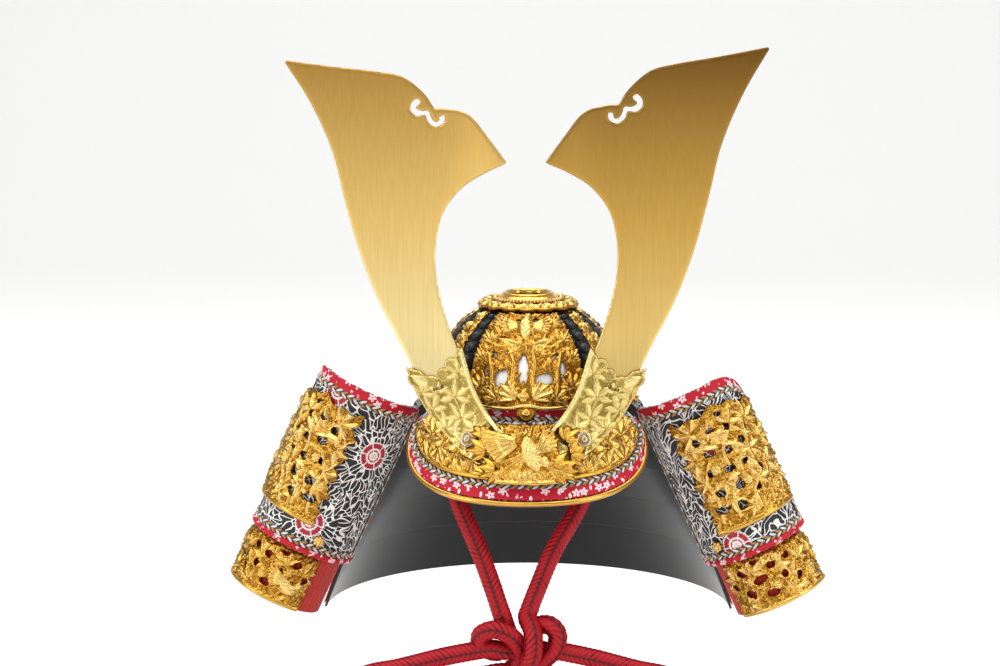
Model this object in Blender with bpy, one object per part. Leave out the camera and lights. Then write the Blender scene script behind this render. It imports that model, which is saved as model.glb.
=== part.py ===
"""A display kabuto with horns, turn-backs, a laced neck guard and a chin cord, in metres, +Z up, facing -Y.

The origin is the middle of the bowl's rim. Most pieces are sheets laid over a few named surfaces: the bowl, the
visor, the turned-back sides and the neck guard. A surface takes u across, towards +X or backwards, and v downwards,
and each sheet lies between two heights over it.
"""
import math

import bmesh
import bpy
import numpy as np
from mathutils import Matrix, Vector
from mathutils.geometry import delaunay_2d_cdt, tessellate_polygon

# Clearances and sheet thicknesses
GAP = 0.0003
CAST_SHEET = 0.0013
CAST_RELIEF = 0.0006
PLATE_SHEET = 0.0009

# Bowl
BOWL_HALF_WIDTH = 0.050
BOWL_HALF_LENGTH = 0.054
BOWL_HEIGHT = 0.0515
BOWL_WALL = 0.002
BOWL_STATIONS = 28
CROWN_HOLE_RADIUS = 0.011
PANEL_HALF_ANGLE = math.radians(37)
STRIP_TOP = math.radians(28)
PANEL_TOP = math.radians(29.5)
STRIP_BOTTOM = math.radians(84)
STRIP_AZIMUTHS = {"front_side": math.radians(61), "side": math.radians(90), "back_side": math.radians(119)}
STRIP_HALF_ANGLE = math.radians(8)
STUD_AZIMUTHS = {"front": math.radians(45), "mid_front": math.radians(76),
                 "mid_back": math.radians(104), "back": math.radians(135)}
STUD_COUNT = 5
STUD_RADIUS = 0.0026
STUD_HEIGHT = 0.0022
STUD_STRIP_HALF_ANGLE = math.radians(5.7)
STUD_STRIP_SHEET = 0.0006
SILVER_SHEET = 0.0004

# Band and waist plate round the rim
BAND_TOP = 0.004
BAND_BOTTOM = -0.0055
BAND_THICKNESS = 0.0018
WAIST_THICKNESS = 0.0012
WAIST_DROP = 0.0063
WAIST_FLARE = 0.0067
WAIST_FRONT_ANGLE = math.radians(-12)

# Crown
CROWN_PLATE_RADIUS = 0.0277
CROWN_PLATE_TOP = 0.0524
CROWN_PLATE_DROP = 0.0033
CROWN_SCALLOPS = 16
BEAD_RING_RADIUS = 0.0182
BEAD_RISE = 0.0016
COLLAR_RADIUS = 0.0159
COLLAR_HEIGHT = 0.0032
CROWN_PLATE_HOLE = COLLAR_RADIUS * 0.85

# Visor
VISOR_LENGTH = 0.0465
VISOR_HALF_ANGLE = math.radians(76)
VISOR_VANISHING_ANGLE = math.radians(80)
VISOR_SLOPE = math.radians(53)
VISOR_SLOPE_LOSS = math.radians(16)
VISOR_SPREAD = 1.13
VISOR_CROWNING = 0.002
VISOR_BOARD = 0.002
VISOR_RIM_RADIUS = 0.0016
VISOR_RIM_CLEARANCE = 0.0005
VISOR_PLATE_HALF_ANGLE = math.radians(58)
VISOR_PLATE_TOP = 0.09
VISOR_PLATE_FOOT = 0.77
VISOR_PLATE_ROUNDING = 0.55

# Crest holder and horns
HOLDER_HALF_SPAN = 0.0642
HOLDER_HEIGHT = 0.0347
HOLDER_DEPTH = 0.034
HOLDER_SHEET = 0.0012
HOLDER_REACH = 0.0186
HOLDER_FRONT = -(BOWL_HALF_LENGTH + HOLDER_REACH)
HOLDER_WRAP = 0.0130
HOLDER_WRAP_WIDTH = 0.033
HOLDER_ARM_LEAN = 0.10
HOLDER_FOOT_LEAN = 0.36
HORN_SPAN = 0.127
HORN_HEIGHT = 0.186
HORN_SHEET = 0.0010
HORN_BOW = 0.008
HORN_BOW_START = 0.030
HORN_CLEARANCE = 0.0007
HORN_RISE = {"left": 0.0, "right": 0.0075}
SPARROW_HALF_SPAN = 0.029
SPARROW_HEIGHT = 0.020
SPARROW_MIDDLE = -0.0215
SPARROW_RELIEF = 0.0042
SPARROW_SHEET = 0.0012
SPARROW_CLEARANCE = 0.0012
RIVET_RADIUS = 0.0042
RIVET_HEIGHT = 0.0045
CREST_RIVET_PLACE = (0.0297, -0.0136)
CREST_RIVET_CLEARANCE = 0.0017
CENTRE_RIVET_HEIGHT = -0.0014
SIDE_RIVET_RADIUS = 0.0026

# Turn-backs
SIDE_SLANT = math.radians(24.6)
SIDE_CORNER_OUT = 0.0097
SIDE_CORNER_X = BOWL_HALF_WIDTH + SIDE_CORNER_OUT
SIDE_CORNER_Z = -0.008
TURN_START_Y = 0.002
TURN_LEG = 0.006
TURN_RADIUS = 0.0285
TURN_ANGLE = {"left": math.radians(194), "right": math.radians(172)}
TURN_LENGTH = 0.096
TURN_BOARD = 0.0022
TURN_CORNER_RADIUS = {"left": 0.016, "right": 0.024}
TRIM_THICKNESS = 0.0010
TRIM_TOP = 0.0045
TRIM_BOTTOM = 0.0040
TRIM_SIDE = 0.0028
TURN_PLATE_TOP = 0.013
TURN_PLATE_FOOT = 0.016
TURN_PLATE_BOTTOM = TURN_LENGTH - TURN_PLATE_FOOT
TURN_PLATE_START = {"left": math.radians(88), "right": math.radians(62)}
TURN_PLATE_ANGLE = math.radians(100)
TURN_PLATE_WAVE = 0.0015
LOWER_TURN_INSET = 0.0035
LOWER_TURN_BOARD = 0.0014
LOWER_TURN_GAP = 0.002
LOWER_TURN_LENGTH = 0.031
LOWER_TURN_START = TURN_LENGTH + LOWER_TURN_GAP
LOWER_TURN_END = LOWER_TURN_START + LOWER_TURN_LENGTH
LOWER_PLATE_START = {"left": math.radians(60), "right": math.radians(40)}
LOWER_PLATE_ANGLE = math.radians(125)

# Neck guard
NECK_FRONT_Y = TURN_START_Y + TURN_LEG + GAP
NECK_BACK_OUT = 0.0025
NECK_BACK_LENGTH = BOWL_HALF_LENGTH + NECK_BACK_OUT
NECK_BACK_FLARE = 0.45
LAME_COUNT = 5
LAME_DEPTH = TURN_LENGTH / (LAME_COUNT - 1)
LAST_LAME_DEPTH = LOWER_TURN_LENGTH
LAME_SHEET = 0.0014
LAME_STEP = 0.0020
LACING_SHEET = 0.0009
LACING_TOP_SHARE = 0.22

# Chin cord
CORD_DIAMETER = 0.0105
CORD_SPACING = 0.026
KNOT_PLACE = (-0.0040, -0.0765, -0.1245)
KNOT_SIZE = (0.0205, 0.0085, 0.0150)
KNOT_EARS = 0.14

# The cord's route by hand, from the knot up the left side, round inside the back of the rim and down the right side
CHIN_CORD_ROUTE = [
    (-0.0120, -0.0746, -0.1090), (-0.0179, -0.0690, -0.0924), (-0.0250, -0.0620, -0.0749),
    (-0.0342, -0.0525, -0.0555), (-0.0412, -0.0420, -0.0365), (-0.0450, -0.0290, -0.0200),
    (-0.0462, -0.0120, -0.0118), (-0.0465, 0.0065, -0.0100), (-0.0412, 0.0250, -0.0100),
    (-0.0297, 0.0398, -0.0100), (-0.0105, 0.0498, -0.0100), (0.0105, 0.0498, -0.0100),
    (0.0297, 0.0398, -0.0100), (0.0412, 0.0250, -0.0100), (0.0465, 0.0065, -0.0100),
    (0.0462, -0.0120, -0.0118), (0.0434, -0.0290, -0.0200), (0.0365, -0.0420, -0.0365),
    (0.0268, -0.0525, -0.0555), (0.0150, -0.0620, -0.0747), (0.0061, -0.0690, -0.0949),
    (0.0005, -0.0746, -0.1086),
]
# One bow loop by hand, for the left side: out along the upper strand, round, and back along the lower one
CORD_LOOP_ROUTE = [
    (-0.0256, -0.0775, -0.1259), (-0.0453, -0.0780, -0.1299), (-0.0667, -0.0780, -0.1355),
    (-0.0850, -0.0765, -0.1400), (-0.0995, -0.0750, -0.1500), (-0.1035, -0.0745, -0.1650),
    (-0.0945, -0.0745, -0.1780), (-0.0795, -0.0750, -0.1775), (-0.0670, -0.0760, -0.1660),
    (-0.0540, -0.0770, -0.1530), (-0.0380, -0.0775, -0.1440), (-0.0216, -0.0775, -0.1392),
]
# One tail by hand, for the left side
CORD_TAIL_ROUTE = [(-0.0097, -0.0745, -0.1402), (-0.0120, -0.0740, -0.1600), (-0.0140, -0.0742, -0.1800),
                   (-0.0145, -0.0750, -0.2000)]


for old in list(bpy.data.objects):
    bpy.data.objects.remove(old, do_unlink=True)


def paint(name, colour, roughness, metallic):
    """A plain material of one colour."""
    material = bpy.data.materials.new(name)
    material.use_nodes = True
    shader = material.node_tree.nodes["Principled BSDF"]
    shader.inputs["Base Color"].default_value = (*colour, 1)
    shader.inputs["Roughness"].default_value = roughness
    shader.inputs["Metallic"].default_value = metallic
    return material


BLACK_LACQUER = paint("black_lacquer", (0.012, 0.012, 0.014), 0.35, 0)
MATTE_BLACK = paint("matte_black_iron", (0.02, 0.02, 0.022), 0.6, 0.4)
CAST_GILT = paint("cast_gilt", (0.83, 0.52, 0.10), 0.25, 1)
BRUSHED_GILT = paint("brushed_gilt", (0.72, 0.52, 0.20), 0.35, 1)
PALE_GILT = paint("pale_gilt", (0.70, 0.54, 0.20), 0.35, 1)
BRONZE = paint("silvery_bronze", (0.42, 0.33, 0.22), 0.3, 1)
SILVER = paint("silver_plate", (0.86, 0.84, 0.80), 0.2, 1)
RED_LEATHER = paint("red_printed_leather", (0.58, 0.02, 0.05), 0.55, 0)
PRINTED_LEATHER = paint("black_printed_leather", (0.25, 0.25, 0.25), 0.55, 0)
RED_SILK = paint("red_silk", (0.45, 0.01, 0.02), 0.6, 0)


def solid(name, points, faces, material, smooth_angle=35):
    """One closed body from points and faces, its normals turned outwards, with soft shading under an angle."""
    mesh = bpy.data.meshes.new(name)
    mesh.from_pydata([tuple(p) for p in points], [], faces)
    work = bmesh.new()
    work.from_mesh(mesh)
    bmesh.ops.recalc_face_normals(work, faces=work.faces)
    work.to_mesh(mesh)
    work.free()
    mesh.materials.append(material)
    mesh.shade_smooth()
    mesh.set_sharp_from_angle(angle=math.radians(smooth_angle))
    thing = bpy.data.objects.new(name, mesh)
    bpy.context.scene.collection.objects.link(thing)
    return thing


def lifted(base, u, v, height):
    """The point at a height over a surface, along its outward normal."""
    step = 1e-4
    across = base(u + step, v) - base(u - step, v)
    down = base(u, v + step) - base(u, v - step)
    normal = np.cross(down, across)
    return base(u, v) + normal * (height / np.linalg.norm(normal))


def dip(radius, angle):
    """How far a straight chord over an angle falls inside its arc."""
    return radius * (1 - math.cos(angle / 2))


def steps(low, high, count):
    """Evenly spaced values, both ends included."""
    return [low + (high - low) * i / count for i in range(count + 1)]


def sheet(name, base, us, vs, low, high, material, cut=None, boss=None, keep=None, lift=None, wrap=False, side=1):
    """A sheet between two heights over a surface, in cells.

    cut(i, j) gives a cell's opening and boss(i, j) its stud, as shares of the cell; keep(i, j) leaves cells out;
    lift(i, j) raises the outer face at a grid point; low and high are numbers or functions of v."""
    columns = len(us) - 1
    rows = len(vs) - 1
    points = []
    faces = []
    seen = {}

    def height(value, v):
        return value(v) if callable(value) else value

    def put(key, u, v, over):
        if key not in seen:
            seen[key] = len(points)
            place = lifted(base, u, v, over)
            points.append((place[0] * side, place[1], place[2]))
        return seen[key]

    def corner(i, j, outer):
        i = i % columns if wrap else i
        over = height(high, vs[j]) + (lift(i, j) if lift else 0) if outer else height(low, vs[j])
        return put(("corner", i, j, outer), us[i], vs[j], over)

    def inside(i, j, share, outer, extra=0):
        u = us[i] + (us[i + 1] - us[i]) * share[0]
        v = vs[j] + (vs[j + 1] - vs[j]) * share[1]
        return put(("inside", i, j, share, outer, extra), u, v, height(high if outer else low, v) + extra)

    def kept(i, j):
        i = i % columns if wrap else i
        return 0 <= i < columns and 0 <= j < rows and (keep is None or keep(i, j))

    def ring_faces(square, ring, ring_shares):
        flat = [[Vector((0, 0, 0)), Vector((1, 0, 0)), Vector((1, 1, 0)), Vector((0, 1, 0))],
                [Vector((*share, 0)) for share in ring_shares]]
        every = square + ring
        faces.extend([every[k] for k in triangle] for triangle in tessellate_polygon(flat))

    for i in range(columns):
        for j in range(rows):
            if not kept(i, j):
                continue
            around = [(i, j), (i + 1, j), (i + 1, j + 1), (i, j + 1)]
            outer = [corner(*at, True) for at in around]
            inner = [corner(*at, False) for at in around]
            opening = cut(i, j) if cut else None
            stud = boss(i, j) if boss else None
            if opening:
                upper = [inside(i, j, share, True) for share in opening]
                lower = [inside(i, j, share, False) for share in opening]
                ring_faces(outer, upper, opening)
                ring_faces(inner, lower, opening)
                for k in range(len(opening)):
                    after = (k + 1) % len(opening)
                    faces.append([upper[k], upper[after], lower[after], lower[k]])
            elif stud:
                foot_shares, top_shares, rise = stud
                foot = [inside(i, j, share, True) for share in foot_shares]
                top = [inside(i, j, share, True, rise) for share in top_shares]
                ring_faces(outer, foot, foot_shares)
                faces.append(inner)
                faces.append(top)
                for k in range(len(foot)):
                    after = (k + 1) % len(foot)
                    faces.append([foot[k], foot[after], top[after], top[k]])
            else:
                faces.append(outer)
                faces.append(inner)
            for k, (di, dj) in enumerate([(0, -1), (1, 0), (0, 1), (-1, 0)]):
                if not kept(i + di, j + dj):
                    after = (k + 1) % 4
                    faces.append([outer[k], outer[after], inner[after], inner[k]])
    return solid(name, points, faces, material)


def leaf_gap(i, j):
    """A slanting leaf-shaped opening, leaning one way and the other in turn."""
    leaf = [(0.15, 0.15), (0.62, 0.26), (0.85, 0.85), (0.38, 0.74)]
    return leaf if (i + j) % 2 else [(1 - x, y) for x, y in reversed(leaf)]


def cast_lift(i, j):
    """Raised knots on a casting, higher at every other grid point."""
    return CAST_RELIEF if (i + j) % 2 else CAST_RELIEF / 3


def turned(name, profile, place, axis, segments, material):
    """A turned body: profile rows are (radius, height) from the foot's middle to the top's middle."""
    turn = Vector((0, 0, 1)).rotation_difference(Vector(axis)).to_matrix().to_4x4()
    matrix = Matrix.Translation(place) @ turn
    points = []
    faces = []
    rings = []
    for radius, height in profile:
        if radius == 0:
            rings.append([len(points)])
            points.append(matrix @ Vector((0, 0, height)))
            continue
        rings.append(list(range(len(points), len(points) + segments)))
        for k in range(segments):
            angle = 2 * math.pi * k / segments
            points.append(matrix @ Vector((radius * math.cos(angle), radius * math.sin(angle), height)))
    pairs = list(zip(rings, rings[1:]))
    if profile[0][0] != 0:
        pairs.append((rings[-1], rings[0]))
    for lower, upper in pairs:
        for k in range(segments):
            after = (k + 1) % segments
            face = [lower[k % len(lower)], lower[after % len(lower)], upper[after % len(upper)], upper[k % len(upper)]]
            faces.append(list(dict.fromkeys(face)))
    return solid(name, points, faces, material)


def smooth_line(points, per_span):
    """Points along a smooth curve through the given ones."""
    points = [np.array(p, float) for p in points]
    ends = [2 * points[0] - points[1]] + points + [2 * points[-1] - points[-2]]
    line = []
    for before, start, end, after in zip(ends, ends[1:], ends[2:], ends[3:]):
        for k in range(per_span):
            t = k / per_span
            line.append(0.5 * (2 * start + (end - before) * t + (2 * before - 5 * start + 4 * end - after) * t ** 2
                               + (3 * start - before - 3 * end + after) * t ** 3))
    return line + [points[-1]]


def holds(outline, x, z):
    """Whether a closed outline holds a point."""
    inside = False
    for (x0, z0), (x1, z1) in zip(outline, outline[1:] + outline[:1]):
        if (z0 > z) != (z1 > z) and x < x0 + (x1 - x0) * (z - z0) / (z1 - z0):
            inside = not inside
    return inside


def cut_plate(name, outline, holes, raised, front, thickness, material, side=1):
    """A plate cut to an outline in x and z, its front face at y = front(x, z) less what the raised points lift."""
    flat = [Vector(p) for p in outline]
    edges = [(k, (k + 1) % len(outline)) for k in range(len(outline))]
    for hole in holes:
        start = len(flat)
        flat.extend(Vector(p) for p in hole)
        edges.extend((start + k, start + (k + 1) % len(hole)) for k in range(len(hole)))
    lifts = [0.0] * len(flat) + [lift for _, _, lift in raised]
    flat.extend(Vector((x, z)) for x, z, _ in raised)
    places, _, triangles, sources, _, _ = delaunay_2d_cdt(flat, edges, [], 0, 1e-7)
    middle = [sum((places[k] for k in triangle), Vector((0, 0))) / 3 for triangle in triangles]
    kept = [list(triangle) for triangle, centre in zip(triangles, middle)
            if holds(outline, *centre) and not any(holds(hole, *centre) for hole in holes)]
    points = []
    for (x, z), source in zip(places, sources):
        points.append((x * side, front(x, z) - lifts[source[0]], z))
    points += [(x * side, front(x, z) + thickness, z) for x, z in places]
    count = len(places)
    faces = kept + [[k + count for k in triangle] for triangle in kept]
    uses = {}
    for triangle in kept:
        for a, b in zip(triangle, triangle[1:] + triangle[:1]):
            uses.setdefault(frozenset((a, b)), []).append((a, b))
    faces += [[pair[0][0], pair[0][1], pair[0][1] + count, pair[0][0] + count]
              for pair in uses.values() if len(pair) == 1]
    used = sorted({k for face in faces for k in face})
    index = {k: n for n, k in enumerate(used)}
    return solid(name, [points[k] for k in used], [[index[k] for k in face] for face in faces], material)


def cord(name, route):
    """A round cord through its route's points, read from a smooth curve."""
    line = smooth_line(route, 12)
    lengths = [0.0]
    for a, b in zip(line, line[1:]):
        lengths.append(lengths[-1] + float(np.linalg.norm(b - a)))
    count = max(3, round(lengths[-1] / CORD_SPACING) + 1)
    curve = bpy.data.curves.new(name, "CURVE")
    curve.dimensions = "3D"
    curve.bevel_depth = CORD_DIAMETER / 2
    curve.bevel_resolution = 2
    curve.use_fill_caps = True
    spline = curve.splines.new("POLY")
    spline.points.add(count - 1)
    for k in range(count):
        along = lengths[-1] * k / (count - 1)
        place = [float(np.interp(along, lengths, [p[axis] for p in line])) for axis in range(3)]
        spline.points[k].co = (*place, 1)
    curve.materials.append(RED_SILK)
    thing = bpy.data.objects.new(name, curve)
    bpy.context.scene.collection.objects.link(thing)
    return thing


# Bowl

def bowl_surface(azimuth, polar):
    """Over the bowl: azimuth from the front towards +X, polar from the crown downwards."""
    return np.array([BOWL_HALF_WIDTH * math.sin(polar) * math.sin(azimuth),
                     -BOWL_HALF_LENGTH * math.sin(polar) * math.cos(azimuth),
                     BOWL_HEIGHT * math.cos(polar)])


def make_bowl_shell():
    top = math.asin(CROWN_HOLE_RADIUS / BOWL_HALF_WIDTH)
    sheet("bowl_shell", bowl_surface, steps(0, 2 * math.pi, BOWL_STATIONS), steps(top, math.pi / 2, 5),
          -BOWL_WALL, 0, BLACK_LACQUER, wrap=True)


def over_shell(step_angle):
    """The lowest a sheet may lie over the shell, with its own chords' dip."""
    return GAP + dip(BOWL_HALF_LENGTH, step_angle) * 2


def make_stud_row(name, azimuth):
    """A ridge plate with its column of round studs."""
    rows = steps(STRIP_TOP, STRIP_BOTTOM, STUD_COUNT)
    pitch = (rows[1] - rows[0]) * BOWL_HEIGHT
    ring = [(math.cos(k * math.pi / 3), math.sin(k * math.pi / 3)) for k in range(6)]

    def stud(_, j):
        width = 2 * STUD_STRIP_HALF_ANGLE * BOWL_HALF_WIDTH * math.sin((rows[j] + rows[j + 1]) / 2)
        x_share = min(STUD_RADIUS / width, 0.46)
        y_share = min(STUD_RADIUS / pitch, 0.46)
        foot = [(0.5 + x_share * x, 0.5 + y_share * y) for x, y in ring]
        top = [(0.5 + x_share * 0.55 * x, 0.5 + y_share * 0.55 * y) for x, y in ring]
        return foot, top, STUD_HEIGHT

    low = over_shell(rows[1] - rows[0])
    edges = [azimuth - STUD_STRIP_HALF_ANGLE, azimuth + STUD_STRIP_HALF_ANGLE]
    sheet(name, bowl_surface, edges, rows, low, low + STUD_STRIP_SHEET, MATTE_BLACK, boss=stud)


def make_strip(name, azimuth):
    """A narrow gilt casting down the bowl's side."""
    rows = steps(STRIP_TOP, STRIP_BOTTOM, 6)
    low = over_shell(rows[1] - rows[0])
    sheet(name, bowl_surface, steps(azimuth - STRIP_HALF_ANGLE, azimuth + STRIP_HALF_ANGLE, 2), rows,
          low, low + CAST_SHEET, CAST_GILT, lift=cast_lift)


PANEL_COLUMNS = 6
SILVER_LOW = over_shell(2 * PANEL_HALF_ANGLE / PANEL_COLUMNS)
SILVER_HIGH = SILVER_LOW + SILVER_SHEET
PANEL_LOW = SILVER_HIGH + over_shell(2 * PANEL_HALF_ANGLE / PANEL_COLUMNS)
PANEL_HIGH = PANEL_LOW + CAST_SHEET


def make_silver_plate():
    sheet("silver_plate", bowl_surface, steps(-PANEL_HALF_ANGLE, PANEL_HALF_ANGLE, PANEL_COLUMNS),
          steps(STRIP_TOP, STRIP_BOTTOM, 5), SILVER_LOW, SILVER_HIGH, SILVER)


def make_front_panel():
    """The pierced front panel: a bird field on top, three tall windows, and leaves over a plain foot."""
    shares = [0, 0.06, 0.24, 0.42, 0.70, 0.90, 1]
    rows = [PANEL_TOP + (STRIP_BOTTOM - PANEL_TOP) * share for share in shares]
    window = [(0.14, 0.10), (0.86, 0.10), (0.80, 0.90), (0.20, 0.90)]

    def cut(i, j):
        if j in (0, 5):
            return None
        if j == 3:
            return window
        return leaf_gap(i, j)

    sheet("front_panel", bowl_surface, steps(-PANEL_HALF_ANGLE, PANEL_HALF_ANGLE, PANEL_COLUMNS), rows,
          PANEL_LOW, PANEL_HIGH, CAST_GILT, cut=cut, lift=cast_lift)


def make_back_panel():
    def cut(i, j):
        return leaf_gap(i, j) if j in (1, 2) and i in (1, 2, 3, 4) else None

    sheet("back_panel", bowl_surface, steps(math.pi - PANEL_HALF_ANGLE, math.pi + PANEL_HALF_ANGLE, PANEL_COLUMNS),
          steps(STRIP_TOP, STRIP_BOTTOM, 4), SILVER_LOW, SILVER_LOW + CAST_SHEET, CAST_GILT, cut=cut, lift=cast_lift)


# Rim band and waist plate

BAND_INNER = GAP + dip(BOWL_HALF_LENGTH, 2 * math.pi / BOWL_STATIONS)


def rim_surface(azimuth, drop):
    """An upright wall round the rim, drop measured down from the rim's plane."""
    return np.array([BOWL_HALF_WIDTH * math.sin(azimuth), -BOWL_HALF_LENGTH * math.cos(azimuth), -drop])


def make_bowl_band():
    sheet("bowl_band", rim_surface, steps(0, 2 * math.pi, BOWL_STATIONS), [-BAND_TOP, -BAND_BOTTOM],
          BAND_INNER, BAND_INNER + BAND_THICKNESS, RED_LEATHER, wrap=True)


def waist_surface(angle, share):
    """The flare under the rim: angle from +X backwards, share from its top edge to its foot."""
    out = BAND_INNER + BAND_THICKNESS + GAP + dip(BOWL_HALF_LENGTH, math.pi / 9) + WAIST_FLARE * share
    return np.array([(BOWL_HALF_WIDTH + out) * math.cos(angle), (BOWL_HALF_LENGTH + out) * math.sin(angle),
                     BAND_BOTTOM / 5 - WAIST_DROP * share])


def make_waist_plate():
    sheet("waist_plate", waist_surface, steps(WAIST_FRONT_ANGLE, math.pi - WAIST_FRONT_ANGLE, 20), [0, 0.6, 1],
          0, WAIST_THICKNESS, BLACK_LACQUER)


# Crown

def crown_surface(azimuth, share):
    """The crown plate's face, share from its hole to its scalloped edge."""
    scallop = 1 - 0.05 * share * (1 - abs(math.cos(azimuth * CROWN_SCALLOPS / 2)))
    radius = (CROWN_PLATE_HOLE + (CROWN_PLATE_RADIUS - CROWN_PLATE_HOLE) * share) * scallop
    fall = CROWN_PLATE_DROP * (radius / CROWN_PLATE_RADIUS) ** 3
    return np.array([radius * math.sin(azimuth), -radius * math.cos(azimuth), CROWN_PLATE_TOP - fall])


def make_crown_plate():
    """The scalloped crown plate, with the ring of beads cast on it."""
    bead = (BEAD_RING_RADIUS - CROWN_PLATE_HOLE) / (CROWN_PLATE_RADIUS - CROWN_PLATE_HOLE)
    beside = BEAD_RISE / (CROWN_PLATE_RADIUS - CROWN_PLATE_HOLE)

    def lift(i, j):
        if j == 2:
            return BEAD_RISE if i % 2 else BEAD_RISE / 2
        return CAST_RELIEF if j == 4 and i % 2 else 0

    sheet("crown_plate", crown_surface, steps(0, 2 * math.pi, 2 * CROWN_SCALLOPS),
          [0, bead - beside, bead, bead + beside, 0.75, 1], -PLATE_SHEET, 0, CAST_GILT, wrap=True, lift=lift)


def make_crown_collar():
    foot = CROWN_PLATE_TOP + GAP
    profile = [(CROWN_HOLE_RADIUS, 0), (COLLAR_RADIUS, 0), (COLLAR_RADIUS, COLLAR_HEIGHT * 0.3),
               (COLLAR_RADIUS * 0.88, COLLAR_HEIGHT * 0.6), (COLLAR_RADIUS * 0.86, COLLAR_HEIGHT),
               (CROWN_HOLE_RADIUS * 1.08, COLLAR_HEIGHT)]
    turned("crown_collar", profile, (0, 0, foot), (0, 0, 1), 24, CAST_GILT)


# Visor

def visor_surface(azimuth, share):
    """The sloping peak: azimuth from the front towards +X, share from the bowl to the rim."""
    turn = min(abs(azimuth) / VISOR_VANISHING_ANGLE, 1)
    length = VISOR_LENGTH * max(1 - turn ** 2.6, 0.04) ** 0.75
    slope = VISOR_SLOPE - VISOR_SLOPE_LOSS * (azimuth / VISOR_HALF_ANGLE) ** 6
    spread = azimuth * VISOR_SPREAD
    out = share * length * math.cos(slope)
    drop = share * length * math.sin(slope)
    swell = VISOR_CROWNING * math.sin(math.pi * min(max(share, 0), 1)) * length / VISOR_LENGTH
    reach = out + swell * math.sin(slope)
    rim = BAND_INNER + BAND_THICKNESS + GAP
    return np.array([(BOWL_HALF_WIDTH + rim) * math.sin(azimuth) + reach * math.sin(spread),
                     -(BOWL_HALF_LENGTH + rim) * math.cos(azimuth) - reach * math.cos(spread),
                     BAND_BOTTOM - GAP - drop + swell * math.cos(slope)])


def make_visor_board():
    sheet("visor_board", visor_surface, steps(-VISOR_HALF_ANGLE, VISOR_HALF_ANGLE, 20), [0, 0.34, 0.67, 1],
          -VISOR_BOARD, 0, RED_LEATHER)


def make_visor_rim():
    """The half-round gilt rim along the visor's edge, as a tube that follows it."""
    sides = 6
    stations = steps(-VISOR_HALF_ANGLE, VISOR_HALF_ANGLE, 22)
    clear = VISOR_RIM_RADIUS + VISOR_RIM_CLEARANCE
    points = []
    for azimuth in stations:
        edge = lifted(visor_surface, azimuth, 1, -VISOR_BOARD / 2)
        inner = lifted(visor_surface, azimuth, 0.98, -VISOR_BOARD / 2)
        out = (edge - inner) / np.linalg.norm(edge - inner)
        up = lifted(visor_surface, azimuth, 1, 0) - edge
        up = up / np.linalg.norm(up)
        for k in range(sides):
            turn = 2 * math.pi * (k + 0.5) / sides
            beyond = clear + VISOR_RIM_RADIUS * math.cos(turn)
            points.append(edge + out * beyond + up * VISOR_RIM_RADIUS * math.sin(turn))
    faces = [list(range(sides)), [len(points) - sides + k for k in range(sides)]]
    for i in range(len(stations) - 1):
        for k in range(sides):
            after = (k + 1) % sides
            faces.append([i * sides + k, (i + 1) * sides + k, (i + 1) * sides + after, i * sides + after])
    solid("visor_rim", points, faces, BRUSHED_GILT)


def make_visor_plate():
    """The pierced plate over the visor, its ends rounded, inside the leather border."""
    middle = (VISOR_PLATE_TOP + VISOR_PLATE_FOOT) / 2

    def rounded(azimuth, share):
        end = (abs(azimuth) / VISOR_PLATE_HALF_ANGLE) ** 6
        return visor_surface(azimuth, middle + (share - middle) * (1 - VISOR_PLATE_ROUNDING * end))

    columns = steps(-VISOR_PLATE_HALF_ANGLE, VISOR_PLATE_HALF_ANGLE, 14)
    low = GAP + dip(2 * BOWL_HALF_WIDTH, columns[1] - columns[0]) + VISOR_CROWNING / 4
    sheet("visor_openwork", rounded, columns, steps(VISOR_PLATE_TOP, VISOR_PLATE_FOOT, 2), low, low + CAST_SHEET,
          CAST_GILT, cut=leaf_gap, lift=cast_lift)


# Crest holder, sparrow and horns

# Columns: share of the half span outwards, share of the height upwards; the left arm, from its outer tip inwards
HOLDER_TOP = [(1.0, 0.663), (0.98, 0.654), (0.869, 0.605), (0.832, 0.533), (0.702, 0.524), (0.656, 0.654),
              (0.620, 0.723), (0.583, 0.870), (0.528, 1.0)]
HOLDER_INNER = [(0.528, 1.0), (0.472, 0.654), (0.435, 0.429), (0.371, 0.190), (0.298, -0.017), (0.213, -0.207),
                (0.084, -0.363), (0.0, -0.42)]
# Columns: share of the half span outwards, share of the depth downwards; the foot, from the middle outwards
HOLDER_FOOT = [(0.0, 1.0), (0.14, 1.02), (0.265, 0.96), (0.30, 0.80), (0.42, 0.73), (0.583, 0.503)]
HOLDER_OUTER = [(0.583, -0.493), (0.731, -0.207), (0.822, 0.0), (0.914, 0.277), (1.0, 0.663)]
# Columns: share of the half span, share of the height, length along the arm; the leaves cast on the arm
HOLDER_LEAVES = [(0.42, -0.28), (0.52, -0.02), (0.62, 0.22), (0.74, 0.30), (0.50, 0.42), (0.86, 0.48)]


def holder_front(x, z):
    """The y of the holder's front face: wrapped at the middle, its foot following the visor's slope."""
    wrap = 1 - math.exp(-(x / HOLDER_WRAP_WIDTH) ** 2)
    lean = HOLDER_ARM_LEAN if z > 0 else HOLDER_FOOT_LEAN
    return HOLDER_FRONT + HOLDER_WRAP * wrap + lean * min(z, HOLDER_HEIGHT)


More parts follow.
